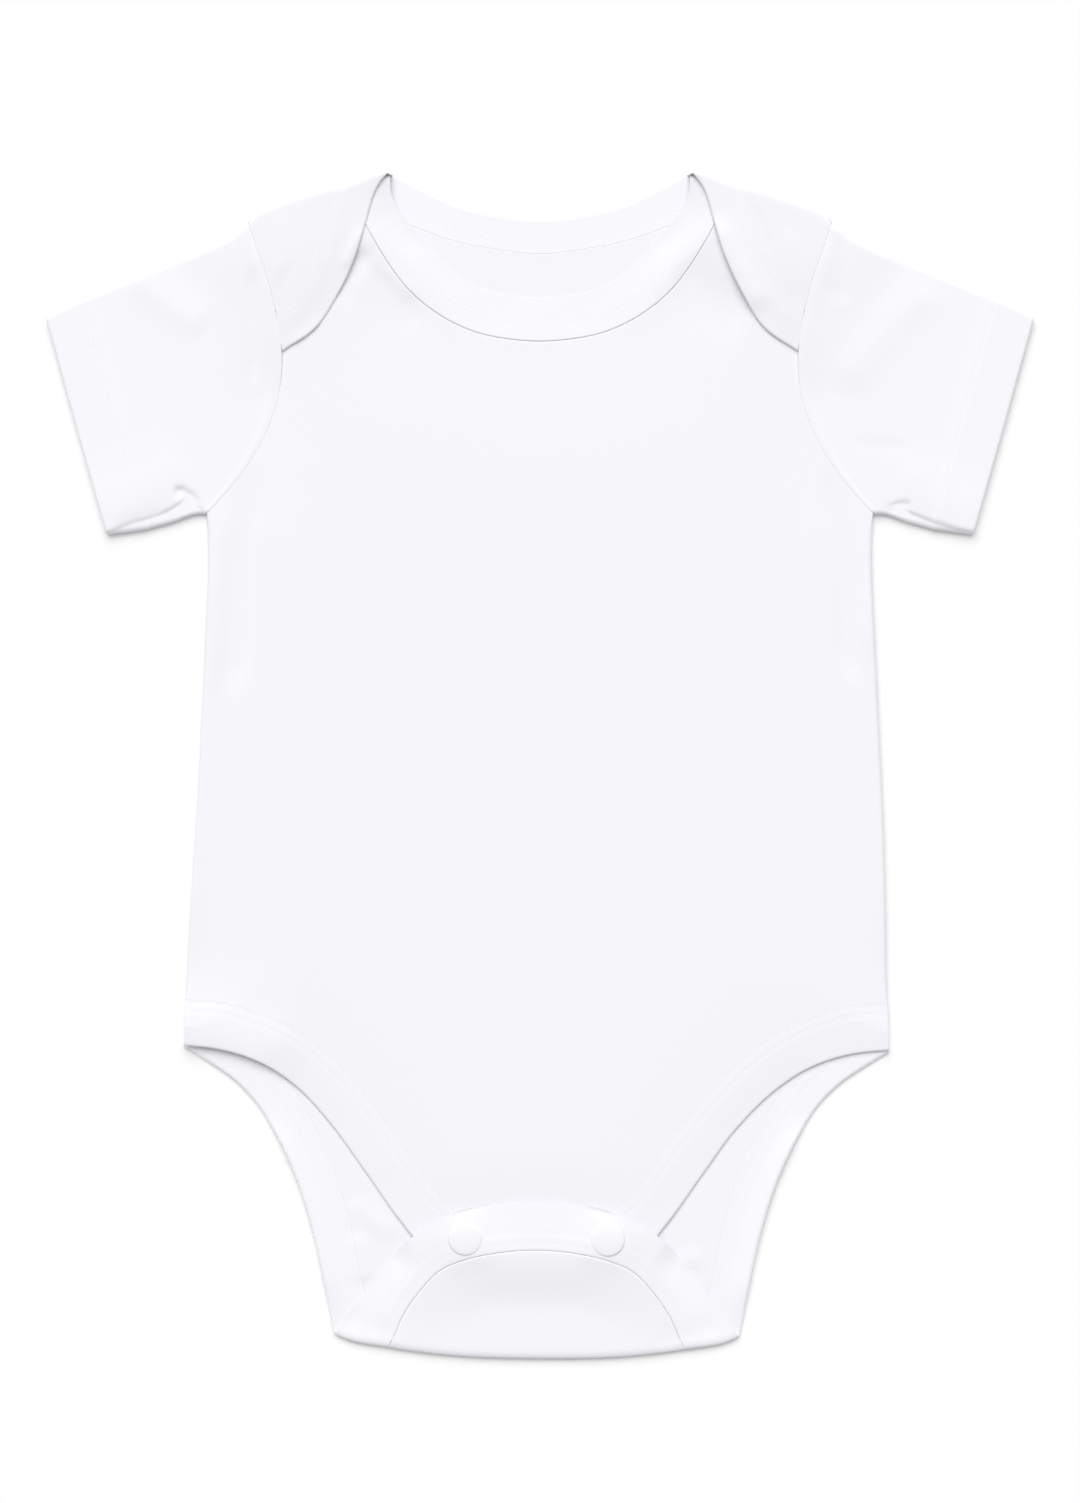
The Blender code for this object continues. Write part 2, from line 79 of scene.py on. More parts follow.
# The one body that every piece rides on
(BODY,) = frame["bodies"]

# Cloth, and the gaps between layers that lie on each other and that hug each other
JERSEY_WALL = 1.0
BINDING_WALL = 1.1
HEM_WALL = 1.25
LAYER_GAP = 0.35
HUG_GAP = 0.06

# How the cloth lies. A pair gives where a change starts and ends.
# The shoulder's fold, which is tighter at its two ends by the neck
BACK_BEND = 2.6
FRONT_BEND = 1.9
FRONT_INSET = 2.3
CORNER_BEND = 0.45
CORNER_INSET = 0.9
CORNER_RANGE = (50.0, 62.0)
SHOULDER_DROP = (15.0, 50.0)
TURN_THIN = 0.8
TURN_END = (10.0, 24.0)

# The front, puffed up in the middle and hugging the back along the neck
PUFF_RISE = 1.1
PUFF_REACH = 42.0
PUFF_RANGE = (-160.0, -124.0)
NECK_PUFF = (0.0, 62.0)
NECK_CROSSING = (74.0, 84.0)
NECK_HUG = 12.5
HIP_OUT = (68.0, 82.0)
HIP_DOWN = (58.0, 74.0)
FRONT_SHIFT = 0.8
FRONT_SHIFT_RANGE = (95.0, 120.0)

# The flap, from the crotch line up over the front
FLAP_HUG = 11.0
FLAP_GAP = 0.9
FLAP_LOW = 1.3
FLAP_HIGH = 3.5
FLAP_RISE = 24.5
FLAP_RISE_REACH = (10.0, 20.0)
FLAP_RISE_RANGE = (12.0, 36.0)
FLAP_FALL = (34.0, 58.0)
PAST_FRONT = (-1.5, 17.0)
STUD_LIFT = 0.35
STUD_BULGE = (4.8, 14.0)

# The hips, spread a little, and the lower half, which leans and tilts
HIP_SPREAD = 1.75
HIP_SPREAD_TOWARDS = (0.48, -0.88)
HIP_SPREAD_IN = (86.0, 97.0)
HIP_SPREAD_OUT = (97.0, 156.0)
HIP_SPREAD_SIDE = (40.0, 70.0)
LEAN = 1.1
LEAN_RANGE = (0.0, 80.0)
TILT = 0.0075
TILT_RANGE = (40.0, 95.0)

# The sleeves
SLEEVE_REST = 1.75
SLEEVE_BEND = 1.6
SLEEVE_HEAD_OUT = (0.0, 30.0)
LAP_TIP = (116.0, 140.0)

# Snaps
SNAP_OUT = 22.7
SNAP_UP = -150.9
CAP_RADIUS = 5.35
CAP_RISE = 0.65
CAP_SEAT = -0.12
STUD_RADIUS = 4.8
STUD_RISE = 1.0
STUD_GAP = 0.3
MOULDING_RIM = 0.15
MOULDING_FOOT = 0.1
MOULDING_TURNS = np.radians(np.linspace(89.5, 0.0, 20))
MOULDING_SIDES = 64

# Stage
FLOOR_HALF = 2000.0
FLOOR_DROP = 0.2
VIEW_WIDTH = 481.0
VIEW_UP = 4.48
LENS = 100.0
KEY_ALONG = (-0.13, 0.99)

# Mesh. Points nearer than SAME_POINT where two edges meet are one.
SAME_POINT = 0.4
FINE_STEP = 1.0
RIM_STEP = 0.5
PANEL_STEP = 1.7
PANEL_CLEAR = 0.55
FOLD_STEP = 1.3
FOLD_CLEAR = 0.45
FOLD_ROWS = np.linspace(-1.0, 1.0, 15)
BAND_STEP = 1.0
BAND_ROW = 0.5
BAND_RIM = np.array((0.0, 0.06, 0.2, 0.42, 0.7))
SLEEVE_STEP = 0.6
SLEEVE_ROW = 0.6
SLEEVE_TURNS = np.radians(np.linspace(90.0, -90.0, 13))
THINNEST = 0.05
LIP_TURNS = np.radians((0.0, 28.0, 55.0, 75.0, 90.0))
MITRE_LIMIT = 0.5
PROBE = 0.05
CORNER_TURN = 0.8
CORNER_LIP = 0.12
CORNER_SLOPE = 0.3
CORNER_REACH = 8

# A stitch from end to end: the place as a share of its length, the lift, and the share of its thickness
STITCH_FORM = ((-0.5, -0.12, 0.5), (-0.36, 0.0, 1.0), (0.0, 0.02, 1.0), (0.36, 0.0, 1.0), (0.5, -0.12, 0.5))
STITCH_TURNS = np.radians(np.arange(0.0, 360.0, 60.0))

# A Patch is the upper side of a sleeve between its four edges. A Shape is a piece as it lies: its outside,
# the way out there, its faces and open rims, each point's place in the flat cut and how deep its sides drop.
Fold = namedtuple("Fold", "width rise path other", defaults=(None,))
Ridge = namedtuple("Ridge", "place width rise")
Lip = namedtuple("Lip", "gap reach drop under power fade", defaults=(0.0,))
Edge = namedtuple("Edge", "flat over")
Binding = namedtuple("Binding", "name table lay free sewn rows press thread")
Patch = namedtuple("Patch", "top under start end")
Shape = namedtuple("Shape", "outside out faces rims cut depth")

SIDES = ((-1, "left"), (1, "right"))

# Lines that the cloth is folded along: x, y
SHOULDER_LINE = (
    (46.0, 189.4), (49.5, 189.6), (57.7, 188.0), (66.9, 185.5), (77.5, 182.3), (86.6, 178.9), (91.2, 176.5),
    (93.3, 173.9),
)
CROTCH_LINE = ((0.0, -189.6), (31.2, -188.5), (48.4, -186.3), (60.8, -184.2), (66.0, -182.0))

# Edges where panels meet: x, y. A lap's armhole mirrors the back's, down to LAP_END.
LAP_END = 145.4
ARMHOLE = (
    (93.3, 173.9), (90.3, 165.0), (86.6, 154.2), (84.0, 143.0), (82.4, 130.0), (84.5, 114.4), (89.1, 103.2),
    (95.1, 93.4), (101.0, 86.3), (106.4, 80.5),
)
SIDE = ((106.4, 80.5), (106.1, 66.0), (106.9, 41.0), (107.8, 21.0), (110.9, -43.0), (112.2, -77.8))
FRONT_TURN = ((63.4, 196.2), (72.0, 194.0), (81.0, 191.0), (89.7, 187.1))
TURN_ARMHOLE = ((89.7, 187.1), (92.0, 176.8), (92.9, 172.0))
SLEEVE_TOP = ((93.3, 173.9), (99.5, 169.6), (106.2, 166.0), (119.7, 160.4), (131.2, 155.4), (146.3, 149.2))
SLEEVE_UNDER = ((106.4, 80.5), (110.0, 80.3), (117.1, 77.9), (126.0, 75.5))
SLEEVE_END = ((146.3, 149.2), (141.0, 131.0), (136.4, 114.6), (126.0, 75.5))
HEM_TOP = ((146.3, 149.2), (152.0, 146.8), (158.1, 143.6))
HEM_UNDER = ((126.0, 75.5), (132.0, 74.6), (138.6, 73.9))
CUFF = ((158.1, 143.6), (153.1, 125.6), (148.7, 109.7), (138.6, 73.9))

# Bindings, a row for each section across one: edge_x, edge_y, seam_x, seam_y
NECK_BACK = (
    (0.0, 173.9, 0.0, 163.7),
    (13.0, 175.3, 14.0, 165.2),
    (26.0, 178.2, 29.0, 168.2),
    (37.2, 183.2, 42.0, 173.0),
    (45.8, 188.0, 53.0, 177.6),
    (52.0, 194.4, 62.5, 186.5),
    (55.4, 203.5, 68.3, 198.0),
    (58.8, 213.0, 71.8, 205.7),
    (64.2, 221.6, 76.0, 211.3),
    (71.6, 228.6, 79.8, 214.6),
    (82.3, 229.1, 84.4, 214.2),
)
NECK_FRONT = (
    (0.0, 149.1, 0.0, 135.5),
    (8.4, 149.6, 9.7, 136.2),
    (16.6, 151.3, 20.4, 138.4),
    (24.7, 155.2, 32.0, 143.9),
    (31.4, 160.8, 42.0, 152.0),
    (36.8, 167.0, 48.2, 160.0),
    (41.2, 172.4, 53.2, 168.2),
    (45.0, 177.3, 56.0, 173.3),
    (47.6, 183.0, 58.9, 179.6),
    (48.0, 190.0, 60.8, 187.0),
    (50.4, 198.6, 63.4, 196.2),
)
LEG_BACK = (
    (112.6, -90.2, 112.2, -77.8),
    (106.4, -93.1, 102.5, -81.3),
    (98.7, -97.5, 91.8, -87.5),
    (90.3, -105.3, 80.8, -97.5),
    (83.2, -116.4, 72.3, -110.7),
    (77.6, -128.8, 66.2, -124.4),
    (72.0, -147.0, 60.2, -144.0),
    (67.4, -167.9, 55.6, -165.7),
    (64.6, -182.6, 52.0, -180.3),
    (60.1, -193.5, 46.6, -188.5),
    (53.1, -205.4, 42.6, -198.4),
    (45.9, -216.3, 37.2, -207.6),
    (37.1, -226.9, 30.5, -215.8),
    (26.8, -234.7, 22.3, -220.5),
    (14.0, -238.6, 12.0, -223.4),
    (0.0, -240.2, 0.0, -224.5),
)
LEG_FRONT = (
    (112.4, -90.2, 112.2, -75.4),
    (102.7, -91.2, 99.7, -76.3),
    (94.0, -93.3, 88.5, -79.7),
    (85.8, -96.8, 78.0, -84.3),
    (77.8, -102.2, 67.8, -91.6),
    (65.2, -114.9, 54.0, -106.0),
    (53.7, -130.6, 41.8, -122.4),
    (42.5, -146.2, 30.6, -137.3),
    (36.6, -153.2, 25.2, -142.4),
    (28.0, -158.5, 20.0, -144.9),
    (14.0, -160.6, 10.0, -145.8),
    (0.0, -160.8, 0.0, -146.0),
)

# Rows of those tables: how many the scoop has, and where the leg and the flap start
SCOOP_ROWS = 8
LEG_FROM = 4
FLAP_FROM = 9

# How an edge ends, as a Lip: how far it stands back from its line, how far in it starts to drop, how far its
# outside and its inside drop towards each other, and the power of that slope, or ROUND for a quarter circle.
# Last, how much more the outside sinks, evenly over FADE_REACH.
ROUND = 0.0
FADE_REACH = 10.0
FOLDED = Lip(0.0, 0.75, 0.72, 0.72, ROUND)
LAP_EDGE = Lip(0.0, 0.9, 0.66, 0.1, ROUND, 0.4)
FRONT_LEG_EDGE = Lip(0.0, 0.75, 0.5, 0.5, ROUND, 0.3)
FLAP_EDGE = Lip(0.0, 12.0, 0.6, 0.38, 1.0)
FADED = Lip(0.0, 13.0, 0.58, 0.32, 1.0)
FADED_IN = Lip(0.0, 13.0, 0.0, 0.5, 1.0)
SIDE_SEAM = Lip(0.0, 1.5, 0.95, 0.05, ROUND)
TURNED_IN = Lip(0.2, 0.3, 0.3, 0.3, ROUND)
BUTTED = Lip(0.02, 0.3, 0.1, 0.1, ROUND)
HEMMED = Lip(0.0, 1.0, 0.8, 0.4, ROUND)
ARM_SEAM = Lip(0.01, 0.35, 0.06, 0.2, ROUND)
HEM_SEAM = Lip(0.005, 0.25, 0.015, 0.1, ROUND)

SCOOP_SEAM = Lip(0.04, 0.4, 0.27, 0.3, ROUND)
NAPE_SEAM = Lip(0.015, 0.3, 0.12, 0.12, ROUND)
LAP_SEAM = Lip(0.01, 0.3, 0.03, 0.1, ROUND)
FLAP_SEAM = Lip(0.04, 0.5, 0.26, 0.2, ROUND)
LEG_SEAM = Lip(0.01, 0.3, 0.03, 0.03, ROUND)

# Ridges round a sleeve and its hem, over the seam's allowance inside. Places below 0 are from the far end.
SLEEVE_RIDGES = (Ridge(1.6, 1.2, 0.13), Ridge(-0.9, 1.3, 0.18))
HEM_RIDGES = (Ridge(0.7, 1.3, 0.06),)

# The hem's stitch row: how far in it runs, and how thick its thread looks
HEM_ROW = 0.9
HEM_THREAD = 0.6

# How far to each side a stitch row presses the cloth in
STITCH_DENT = 0.6


def on_left(path):
    """The mirror image of a path."""
    return [(-x, y) for x, y in path]


# Folds: width on the left of the path and rise, then the path along the middle of each, and its width on
# the right where that differs. Those of the back lift it off the floor, some of them along its edges.
LEG_LIFT = ((87.0, -109.0), *(row[:2] for row in LEG_BACK[LEG_FROM : FLAP_FROM - 1]), (65.0, -180.0))
SIDE_LIFT = ((106.2, 76.0), (107.8, 21.0), (110.9, -43.0), (112.2, -72.0))
NECK_LIFT = ((46.0, 178.0), (36.8, 167.0), (24.7, 155.2))
BACK_FOLDS = (
    Fold(3.0, 0.3, ((-60, -139), (-53, -145.5), (-44, -151.5))),
    Fold(1.8, 0.4, ((-56.6, -149), (-55.7, -152), (-53.8, -162), (-53, -166)), 5.0),
    Fold(2.4, 0.3, ((45, -157), (54, -158))),
    Fold(4.5, 1.0, on_left(LEG_LIFT)),
    Fold(4.5, 1.2, LEG_LIFT),
    Fold(4.5, 0.6, on_left(SIDE_LIFT)),
    Fold(4.5, 0.8, SIDE_LIFT),
    Fold(4.0, 0.6, ((157.4, 142), (148.7, 109.7), (139, 75))),
    Fold(8.0, 0.3, (*on_left(NECK_LIFT), (0.0, 149.1), *NECK_LIFT[::-1])),
)
FLAP_FOLDS = (
    Fold(4.0, -0.3, ((-63, -175.5), (-54, -180), (-44, -183))),
    Fold(4.0, -0.3, ((36, -184), (47, -182.5), (60, -178))),
    Fold(0.7, -0.4, ((-27, -143.9), (-22, -142.2), (-17, -140.9)), 1.2),
    Fold(0.7, -0.4, ((15.6, -140.9), (20, -142), (25.4, -143.9)), 1.2),
)
# Hollows in the front, beside the laps and along its leg edges
NECK_FOLDS = (
    Fold(2.2, -0.8, ((-72, 155), (-64.6, 160.2), (-60.2, 162.8), (-57, 163), (-52.6, 160)), 11.0),
    Fold(3.0, -0.3, ((-66, 164), (-58, 161), (-50, 154.4), (-42, 146), (-36, 138)), 9.0),
    Fold(7.0, -0.6, ((42, 160), (48, 156), (54, 152), (60.8, 149), (70, 145)), 11.0),
    Fold(5.0, -0.2, ((-80, -100), (-66, -114), (-54, -130.6), (-42, -146))),
    Fold(5.0, -0.15, ((90, -94), (78, -102), (66, -114), (54, -130.6), (42, -146))),
)
# The creases down from the underarms, the one beside the left lap, and the rise of the left hip
BODY_FOLDS = (
    Fold(3.2, -0.8, ((-91, 98), (-93.5, 80), (-95, 60), (-97.5, 20))),
    Fold(2.0, 0.4, ((-102, 84), (-103.2, 60), (-104, 22))),
    Fold(3.2, -0.8, ((92, 96), (95.5, 78), (98.5, 58), (99.5, 24))),
    Fold(2.0, 0.4, ((102.5, 80), (104, 60), (104.6, 30))),
    Fold(2.6, 0.5, ((-58, 168), (-52, 161.5), (-46, 155.5), (-40, 148))),
    Fold(13.0, 1.4, ((-160, -78), (-130, -82), (-110, -87), (-98, -90), (-88, -94), (-74, -102))),
)
# How a lap stands off the front or sinks to it, past its binding
LAP_FOLDS = (
    Fold(7.0, -0.4, ((-50, 196), (-64, 154), (-80, 126))),
    Fold(1.8, 0.4, ((-56.8, 172), (-59, 166), (-63, 158))),
    Fold(2.5, 0.3, ((-69, 142), (-74, 137), (-79, 134))),
    Fold(4.5, 1.0, ((54, 176), (60, 163), (67, 150), (72, 143.6))),
    Fold(2.4, 0.15, ((-86.8, 155), (-82.5, 160), (-81.6, 176))),
    Fold(0.9, -0.15, ((-78.6, 161.5), (-80.6, 156), (-83.4, 149.5))),
    Fold(1.0, -0.3, ((68.4, 179), (70.6, 172), (73.6, 163))),
    Fold(3.0, 0.2, ((82, 150), (80, 172))),
)
# Hollows beside the armholes, soft folds across the sleeves, and the tucks under the arms
SLEEVE_FOLDS = (
    Fold(2.0, -0.4, ((-92, 162), (-91.6, 146), (-91, 120))),
    Fold(3.5, -0.3, ((97.4, 174), (96.8, 162), (95.4, 146))),
    Fold(6.0, 0.5, ((-133, 158), (-119, 148), (-105, 139))),
    Fold(6.5, 0.5, ((129, 156), (112.5, 142), (95, 118))),
    Fold(2.4, -0.12, ((98, 102.5), (108, 102), (120, 101.5))),
    Fold(4.0, 0.1, ((108, 94), (122, 94), (136, 93))),
    Fold(9.0, 0.4, ((-146, 80), (-131, 86), (-120, 90), (-108, 96))),
    Fold(3.0, -0.35, ((-136, 74.2), (-129.6, 77), (-122, 79), (-118.4, 80.4)), 14.0),
    Fold(
        0.9, -0.7,
        ((-140, 73), (-137, 74.4), (-129.6, 77), (-121.6, 79.2), (-118.4, 81), (-111.8, 85), (-109, 86.6)),
        14.0,
    ),
    Fold(1.2, -0.8, ((-117.6, 88), (-114.2, 87.8), (-111.6, 86), (-109.4, 82.6)), 2.6),
    Fold(0.8, -0.5, ((-112.6, 86.4), (-109.4, 82), (-106, 78)), 2.0),
    Fold(8.0, 0.35, ((144, 80), (132, 82.5), (122, 86), (112, 92))),
    Fold(
        7.0, -0.8,
        ((141, 73.6), (134.4, 74.6), (125, 77.4), (116.8, 80.6), (111.6, 83.2), (109, 84.4)),
        0.9,
    ),
    Fold(2.6, -0.6, ((118.8, 83.2), (116, 83.6), (112.4, 83)), 1.1),
)
FOLD_FADE = 0.22


# Curves and small sums


def smooth(value, start, end):
    """0 before start, 1 past end, and an even slope between."""
    share = np.clip((value - start) / (end - start), 0.0, 1.0)
    return share * share * (3.0 - 2.0 * share)


def fall(value, start, end):
    """1 before start, 0 past end."""
    return 1.0 - smooth(value, start, end)


def mix(one, other, share):
    """One at a share of 0, the other at a share of 1."""
    return one + (other - one) * share


def unit(vectors):
    return vectors / np.maximum(np.linalg.norm(vectors, axis=-1, keepdims=True), 1e-12)


def runs_of(curve):
    """How far along a curve each of its points is."""
    steps = np.linalg.norm(np.diff(curve, axis=0), axis=1)
    return np.concatenate(((0.0,), np.cumsum(steps)))


def through(rows, step, counts=None):
    """Points about one step apart on a smooth curve through the rows."""
    knots = np.array(rows, dtype=float)
    padded = np.vstack((past_end(knots[0], knots[1]), knots, past_end(knots[-1], knots[-2])))
    if counts is None:
        counts = counts_for(knots, step)
    chords = np.diff(padded, axis=0)
    lengths = np.linalg.norm(chords, axis=1)[:, None]
    aims = unit(chords[:-1] * lengths[1:] / lengths[:-1] + chords[1:] * lengths[:-1] / lengths[1:])
    curve = []
    for start, end, aim, aim_end, count in zip(knots, knots[1:], aims, aims[1:], counts):
        reach = np.linalg.norm(end - start) / 3.0
        leave, arrive = start + aim * reach, end - aim_end * reach
        t = np.linspace(0.0, 1.0, count, endpoint=False)[:, None]
        near, far = (1 - t) ** 3 * start + 3 * (1 - t) ** 2 * t * leave, 3 * (1 - t) * t**2 * arrive
        curve.append(near + far + t**3 * end)
    return np.vstack((*curve, knots[-1:]))


def past_end(knot, before):
    """One more knot past a curve's end: its mirror image where the curve ends on the middle line."""
    return before * (-1.0, 1.0) if knot[0] == 0.0 else 2.0 * knot - before


def counts_for(knots, step):
    return np.maximum(1, np.round(np.linalg.norm(np.diff(knots, axis=0), axis=1) / step)).astype(int)


def read_off(want, runs, points):
    """Points read off a line at the wanted places. runs has the places of the line's own points."""
    return np.stack([np.interp(want, runs, points[:, axis]) for axis in range(points.shape[1])], axis=-1)


def along(curve, share):
    """The points at these shares of the curve's length."""
    runs = runs_of(curve)
    return read_off(np.asarray(share) * runs[-1], runs, curve)


def level_at(line, x):
    """The y of a line that runs towards +X, at x, held level past its ends."""
    return np.interp(np.abs(x), line[:, 0], line[:, 1])


def joined(runs):
    """Runs that meet end to end, without the points of each that the one before it already has."""
    parts = [runs[0]]
    for run in runs[1:]:
        parts.append(run[np.linalg.norm(run - parts[-1][-1], axis=1) > SAME_POINT])
    return parts


def mirrored(rows):
    """Both halves of a table's rows, from left to right, with the row on the middle line once."""
    rows = np.array(rows, dtype=float)
    if rows[0, 0] > rows[-1, 0]:
        rows = rows[::-1]
    flip = np.where(np.arange(rows.shape[1]) % 2 == 0, -1.0, 1.0)
    return np.vstack((rows[:0:-1] * flip, rows))


def free_edge(table, step=FINE_STEP):
    """The free edge in a binding's table."""
    return through([row[:2] for row in table], step)


def seam_line(table):
    """The sewn edge in a binding's table."""
    return through([row[2:] for row in table], FINE_STEP)


SHOULDER = through(SHOULDER_LINE, FINE_STEP)
CROTCH = through(CROTCH_LINE, FINE_STEP)
ARM_LINE = through(ARMHOLE, FINE_STEP)
SIDE_LINE = through(SIDE, FINE_STEP)
FRONT_LEG = free_edge(LEG_FRONT[LEG_FROM:])[::-1]


# Heights: what each layer rests on, at a place in plan


def layer(x):
    """One layer of cloth with the gap on it: more where the neck bindings cross, as they are thicker."""
    return JERSEY_WALL + LAYER_GAP + fall(np.abs(x), *NECK_CROSSING) * (BINDING_WALL - JERSEY_WALL)


def tree_of(places):
    """Places in plan, ready to be searched."""
    tree = KDTree(len(places))
    for index, (x, y) in enumerate(places):
        tree.insert((x, y, 0.0), index)
    tree.balance()
    return tree


def rim_tree(half):
    """Points all round a symmetric edge, ready to be searched. half is its right half."""
    return tree_of(np.vstack((half, half * (-1.0, 1.0))))


def past_crotch(curve):
    """Where a curve on the flap lies once the flap is folded over."""
    return np.column_stack((curve[:, 0], level_at(CROTCH, curve[:, 0]) * 2.0 - curve[:, 1]))


NECK_RIM = rim_tree(free_edge(NECK_FRONT[:SCOOP_ROWS], RIM_STEP))
FLAP_RIM = rim_tree(past_crotch(free_edge(LEG_BACK[FLAP_FROM:], RIM_STEP)))
FRONT_EDGES = (through(SHOULDER_LINE[2:], RIM_STEP), through(ARMHOLE, RIM_STEP), through(SIDE, RIM_STEP))
FRONT_RIM = rim_tree(np.vstack(joined((*FRONT_EDGES, free_edge(LEG_FRONT, RIM_STEP)))))


def away_from(rim, x, y):
    """How far each place is from the nearest point of a rim."""
    spots = zip(np.ravel(x), np.ravel(y))
    return np.array([rim.find((a, b, 0.0))[2] for a, b in spots]).reshape(np.shape(x))


def puff(x, y):
    """How far the front stands off the back: nothing at its edges, most in the middle."""
    away = np.minimum(away_from(FRONT_RIM, x, y) / PUFF_REACH, 1.0)
    below_neck = smooth(away_from(NECK_RIM, x, y), *NECK_PUFF)
    return PUFF_RISE * (1.0 - (1.0 - away) ** 2) * smooth(y, *PUFF_RANGE) * below_neck


def folds(x, y, table):
    """How much the folds of a table raise or lower the cloth."""
    total = np.zeros(np.shape(x))
    for fold in table:
        path = np.array(fold.path, dtype=float)
        runs = runs_of(path)
        best = np.full(np.shape(x), np.inf)
        run = np.zeros(np.shape(x))
        width = np.full(np.shape(x), fold.width)
        for (start, end), past in zip(zip(path, path[1:]), runs):
            ahead = end - start
            length = np.linalg.norm(ahead)
            share = np.clip(((x - start[0]) * ahead[0] + (y - start[1]) * ahead[1]) / length**2, 0.0, 1.0)
            away = np.hypot(x - start[0] - share * ahead[0], y - start[1] - share * ahead[1])
            closer = away < best
            best = np.where(closer, away, best)
            run = np.where(closer, past + share * length, run)
            if fold.other:
                left = ahead[0] * (y - start[1]) > ahead[1] * (x - start[0])
                width = np.where(closer, np.where(left, fold.width, fold.other), width)
        share = run / runs[-1]
        fade = smooth(share, 0.0, FOLD_FADE) * smooth(1.0 - share, 0.0, FOLD_FADE)
        total += fold.rise * fade * np.exp(-((best / width) ** 2))
    return total


def front_rest(x, y, hollows=NECK_FOLDS):
    """What the front lies on: its own turn at the shoulder, and the back or the back's leg binding below.

    Along the neck it sinks towards the back.
    """
    over_turn = 2.0 * layer(x)
    over_binding = smooth(np.abs(x), *HIP_OUT) * smooth(-y, *HIP_DOWN)
    on_back = JERSEY_WALL + LAYER_GAP + over_binding * (BINDING_WALL - JERSEY_WALL)
    body = on_back + np.maximum(puff(x, y) + folds(x, y, BODY_FOLDS), 0.0)
    below = level_at(SHOULDER, x) - y
    full = mix(over_turn, body, smooth(below, *SHOULDER_DROP)) + folds(x, y, hollows)
    low = JERSEY_WALL + HUG_GAP + TURN_THIN * fall(below, *TURN_END)
    return mix(full, low, fall(away_from(NECK_RIM, x, y), 0.0, NECK_HUG)) + folds(x, y, BACK_FOLDS)


def lap_rest(x, y):
    """What a lap lies on: the front, but straight across the hollows."""
    return front_rest(x, y, ()) + layer(x) + folds(x, y, LAP_FOLDS)


def flap_rest(x, y):
    """Low at the crotch line, up over the front and the snap studs, and down again along its free edge.

    It rises steeply behind the front's end in the middle, and gently further out. Past the front its free
    edge comes down to the back.
    """
    reach = mix(*FLAP_RISE_REACH, smooth(np.abs(x), *FLAP_RISE_RANGE))
    rise = smooth((y - level_at(CROTCH, x) - FLAP_RISE) / reach, -1.0, 1.0)
    past = smooth(level_at(FRONT_LEG, x) - y, *PAST_FRONT)
    on_front = front_rest(x, y) - folds(x, y, BACK_FOLDS) + BINDING_WALL
    on_back = JERSEY_WALL + HUG_GAP
    full = mix(FLAP_LOW, FLAP_HIGH, rise * fall(np.abs(x), *FLAP_FALL))
    full = np.maximum(full, mix(on_front + HUG_GAP, on_back, past))
    low = np.minimum(full, mix(on_front + FLAP_GAP, on_back, past))
    full = mix(full, low, fall(away_from(FLAP_RIM, x, y), 0.0, FLAP_HUG))
    bulge = fall(np.hypot(np.abs(x) - SNAP_OUT, y - SNAP_UP), *STUD_BULGE)
    return full + STUD_LIFT * bulge + folds(x, y, FLAP_FOLDS) + folds(x, y, BACK_FOLDS)


def sleeve_rest(x, y):
    """Under the upper layer of a sleeve: as high as the body's where it joins it, low at the hem."""
    over_lap = (JERSEY_WALL + LAYER_GAP) * smooth(y, *LAP_TIP)
    edge = np.interp(y, ARM_LINE[::-1, 1], ARM_LINE[::-1, 0])
    body = front_rest(np.clip(x, -edge, edge), y) + over_lap
    out = smooth(np.abs(x) - edge, *SLEEVE_HEAD_OUT)
    full = mix(body, SLEEVE_REST, out) + folds(x, y, SLEEVE_FOLDS)
    return np.maximum(full, JERSEY_WALL + HUG_GAP + folds(x, y, BACK_FOLDS))


# Folding


def over_fold(past, bend):
    """Past a fold the cloth comes back: how far it lies from the fold, and how much of the way up it is."""
    turn = np.clip(past / bend, -1.0, 1.0) * math.pi / 2.0
    plan = np.where(np.abs(past) >= bend, -np.abs(past), -bend * (1.0 - np.cos(turn)))
    return plan, (1.0 + np.sin(turn)) / 2.0


def at_corner(x):
    """1 where the shoulder's fold reaches the neck, 0 further out."""
    return fall(np.abs(x), *CORNER_RANGE)


def past_fold(x, y, lay):
    """How far past its fold a place is cut, on the back or the front."""
    if lay is lay_front:
        return y - level_at(SHOULDER, x) + mix(FRONT_INSET, CORNER_INSET, at_corner(x))
    return np.abs(y) - np.where(y > 0, level_at(SHOULDER, x), -level_at(CROTCH, x))


def back_bend(x, y):
    """How far each side of a fold the back bends: least where the shoulder's fold reaches the neck."""
    return mix(BACK_BEND, CORNER_BEND, at_corner(x) * (y > 0))


def turned_over(x, y, lay):
    """0 on the flat of a piece, 1 where it has folded over."""
    bend = FRONT_BEND if lay is lay_front else back_bend(x, y)
    return smooth(past_fold(x, y, lay) / bend, -1.0, 1.0)


def spread_hips(x, y):
    """The back's leg edges lie a little wider than the front's."""
    along_leg = smooth(-y, *HIP_SPREAD_IN) * fall(-y, *HIP_SPREAD_OUT)
    amount = HIP_SPREAD * (along_leg * smooth(np.abs(x), *HIP_SPREAD_SIDE))
    return x + np.sign(x) * HIP_SPREAD_TOWARDS[0] * amount, y + HIP_SPREAD_TOWARDS[1] * amount


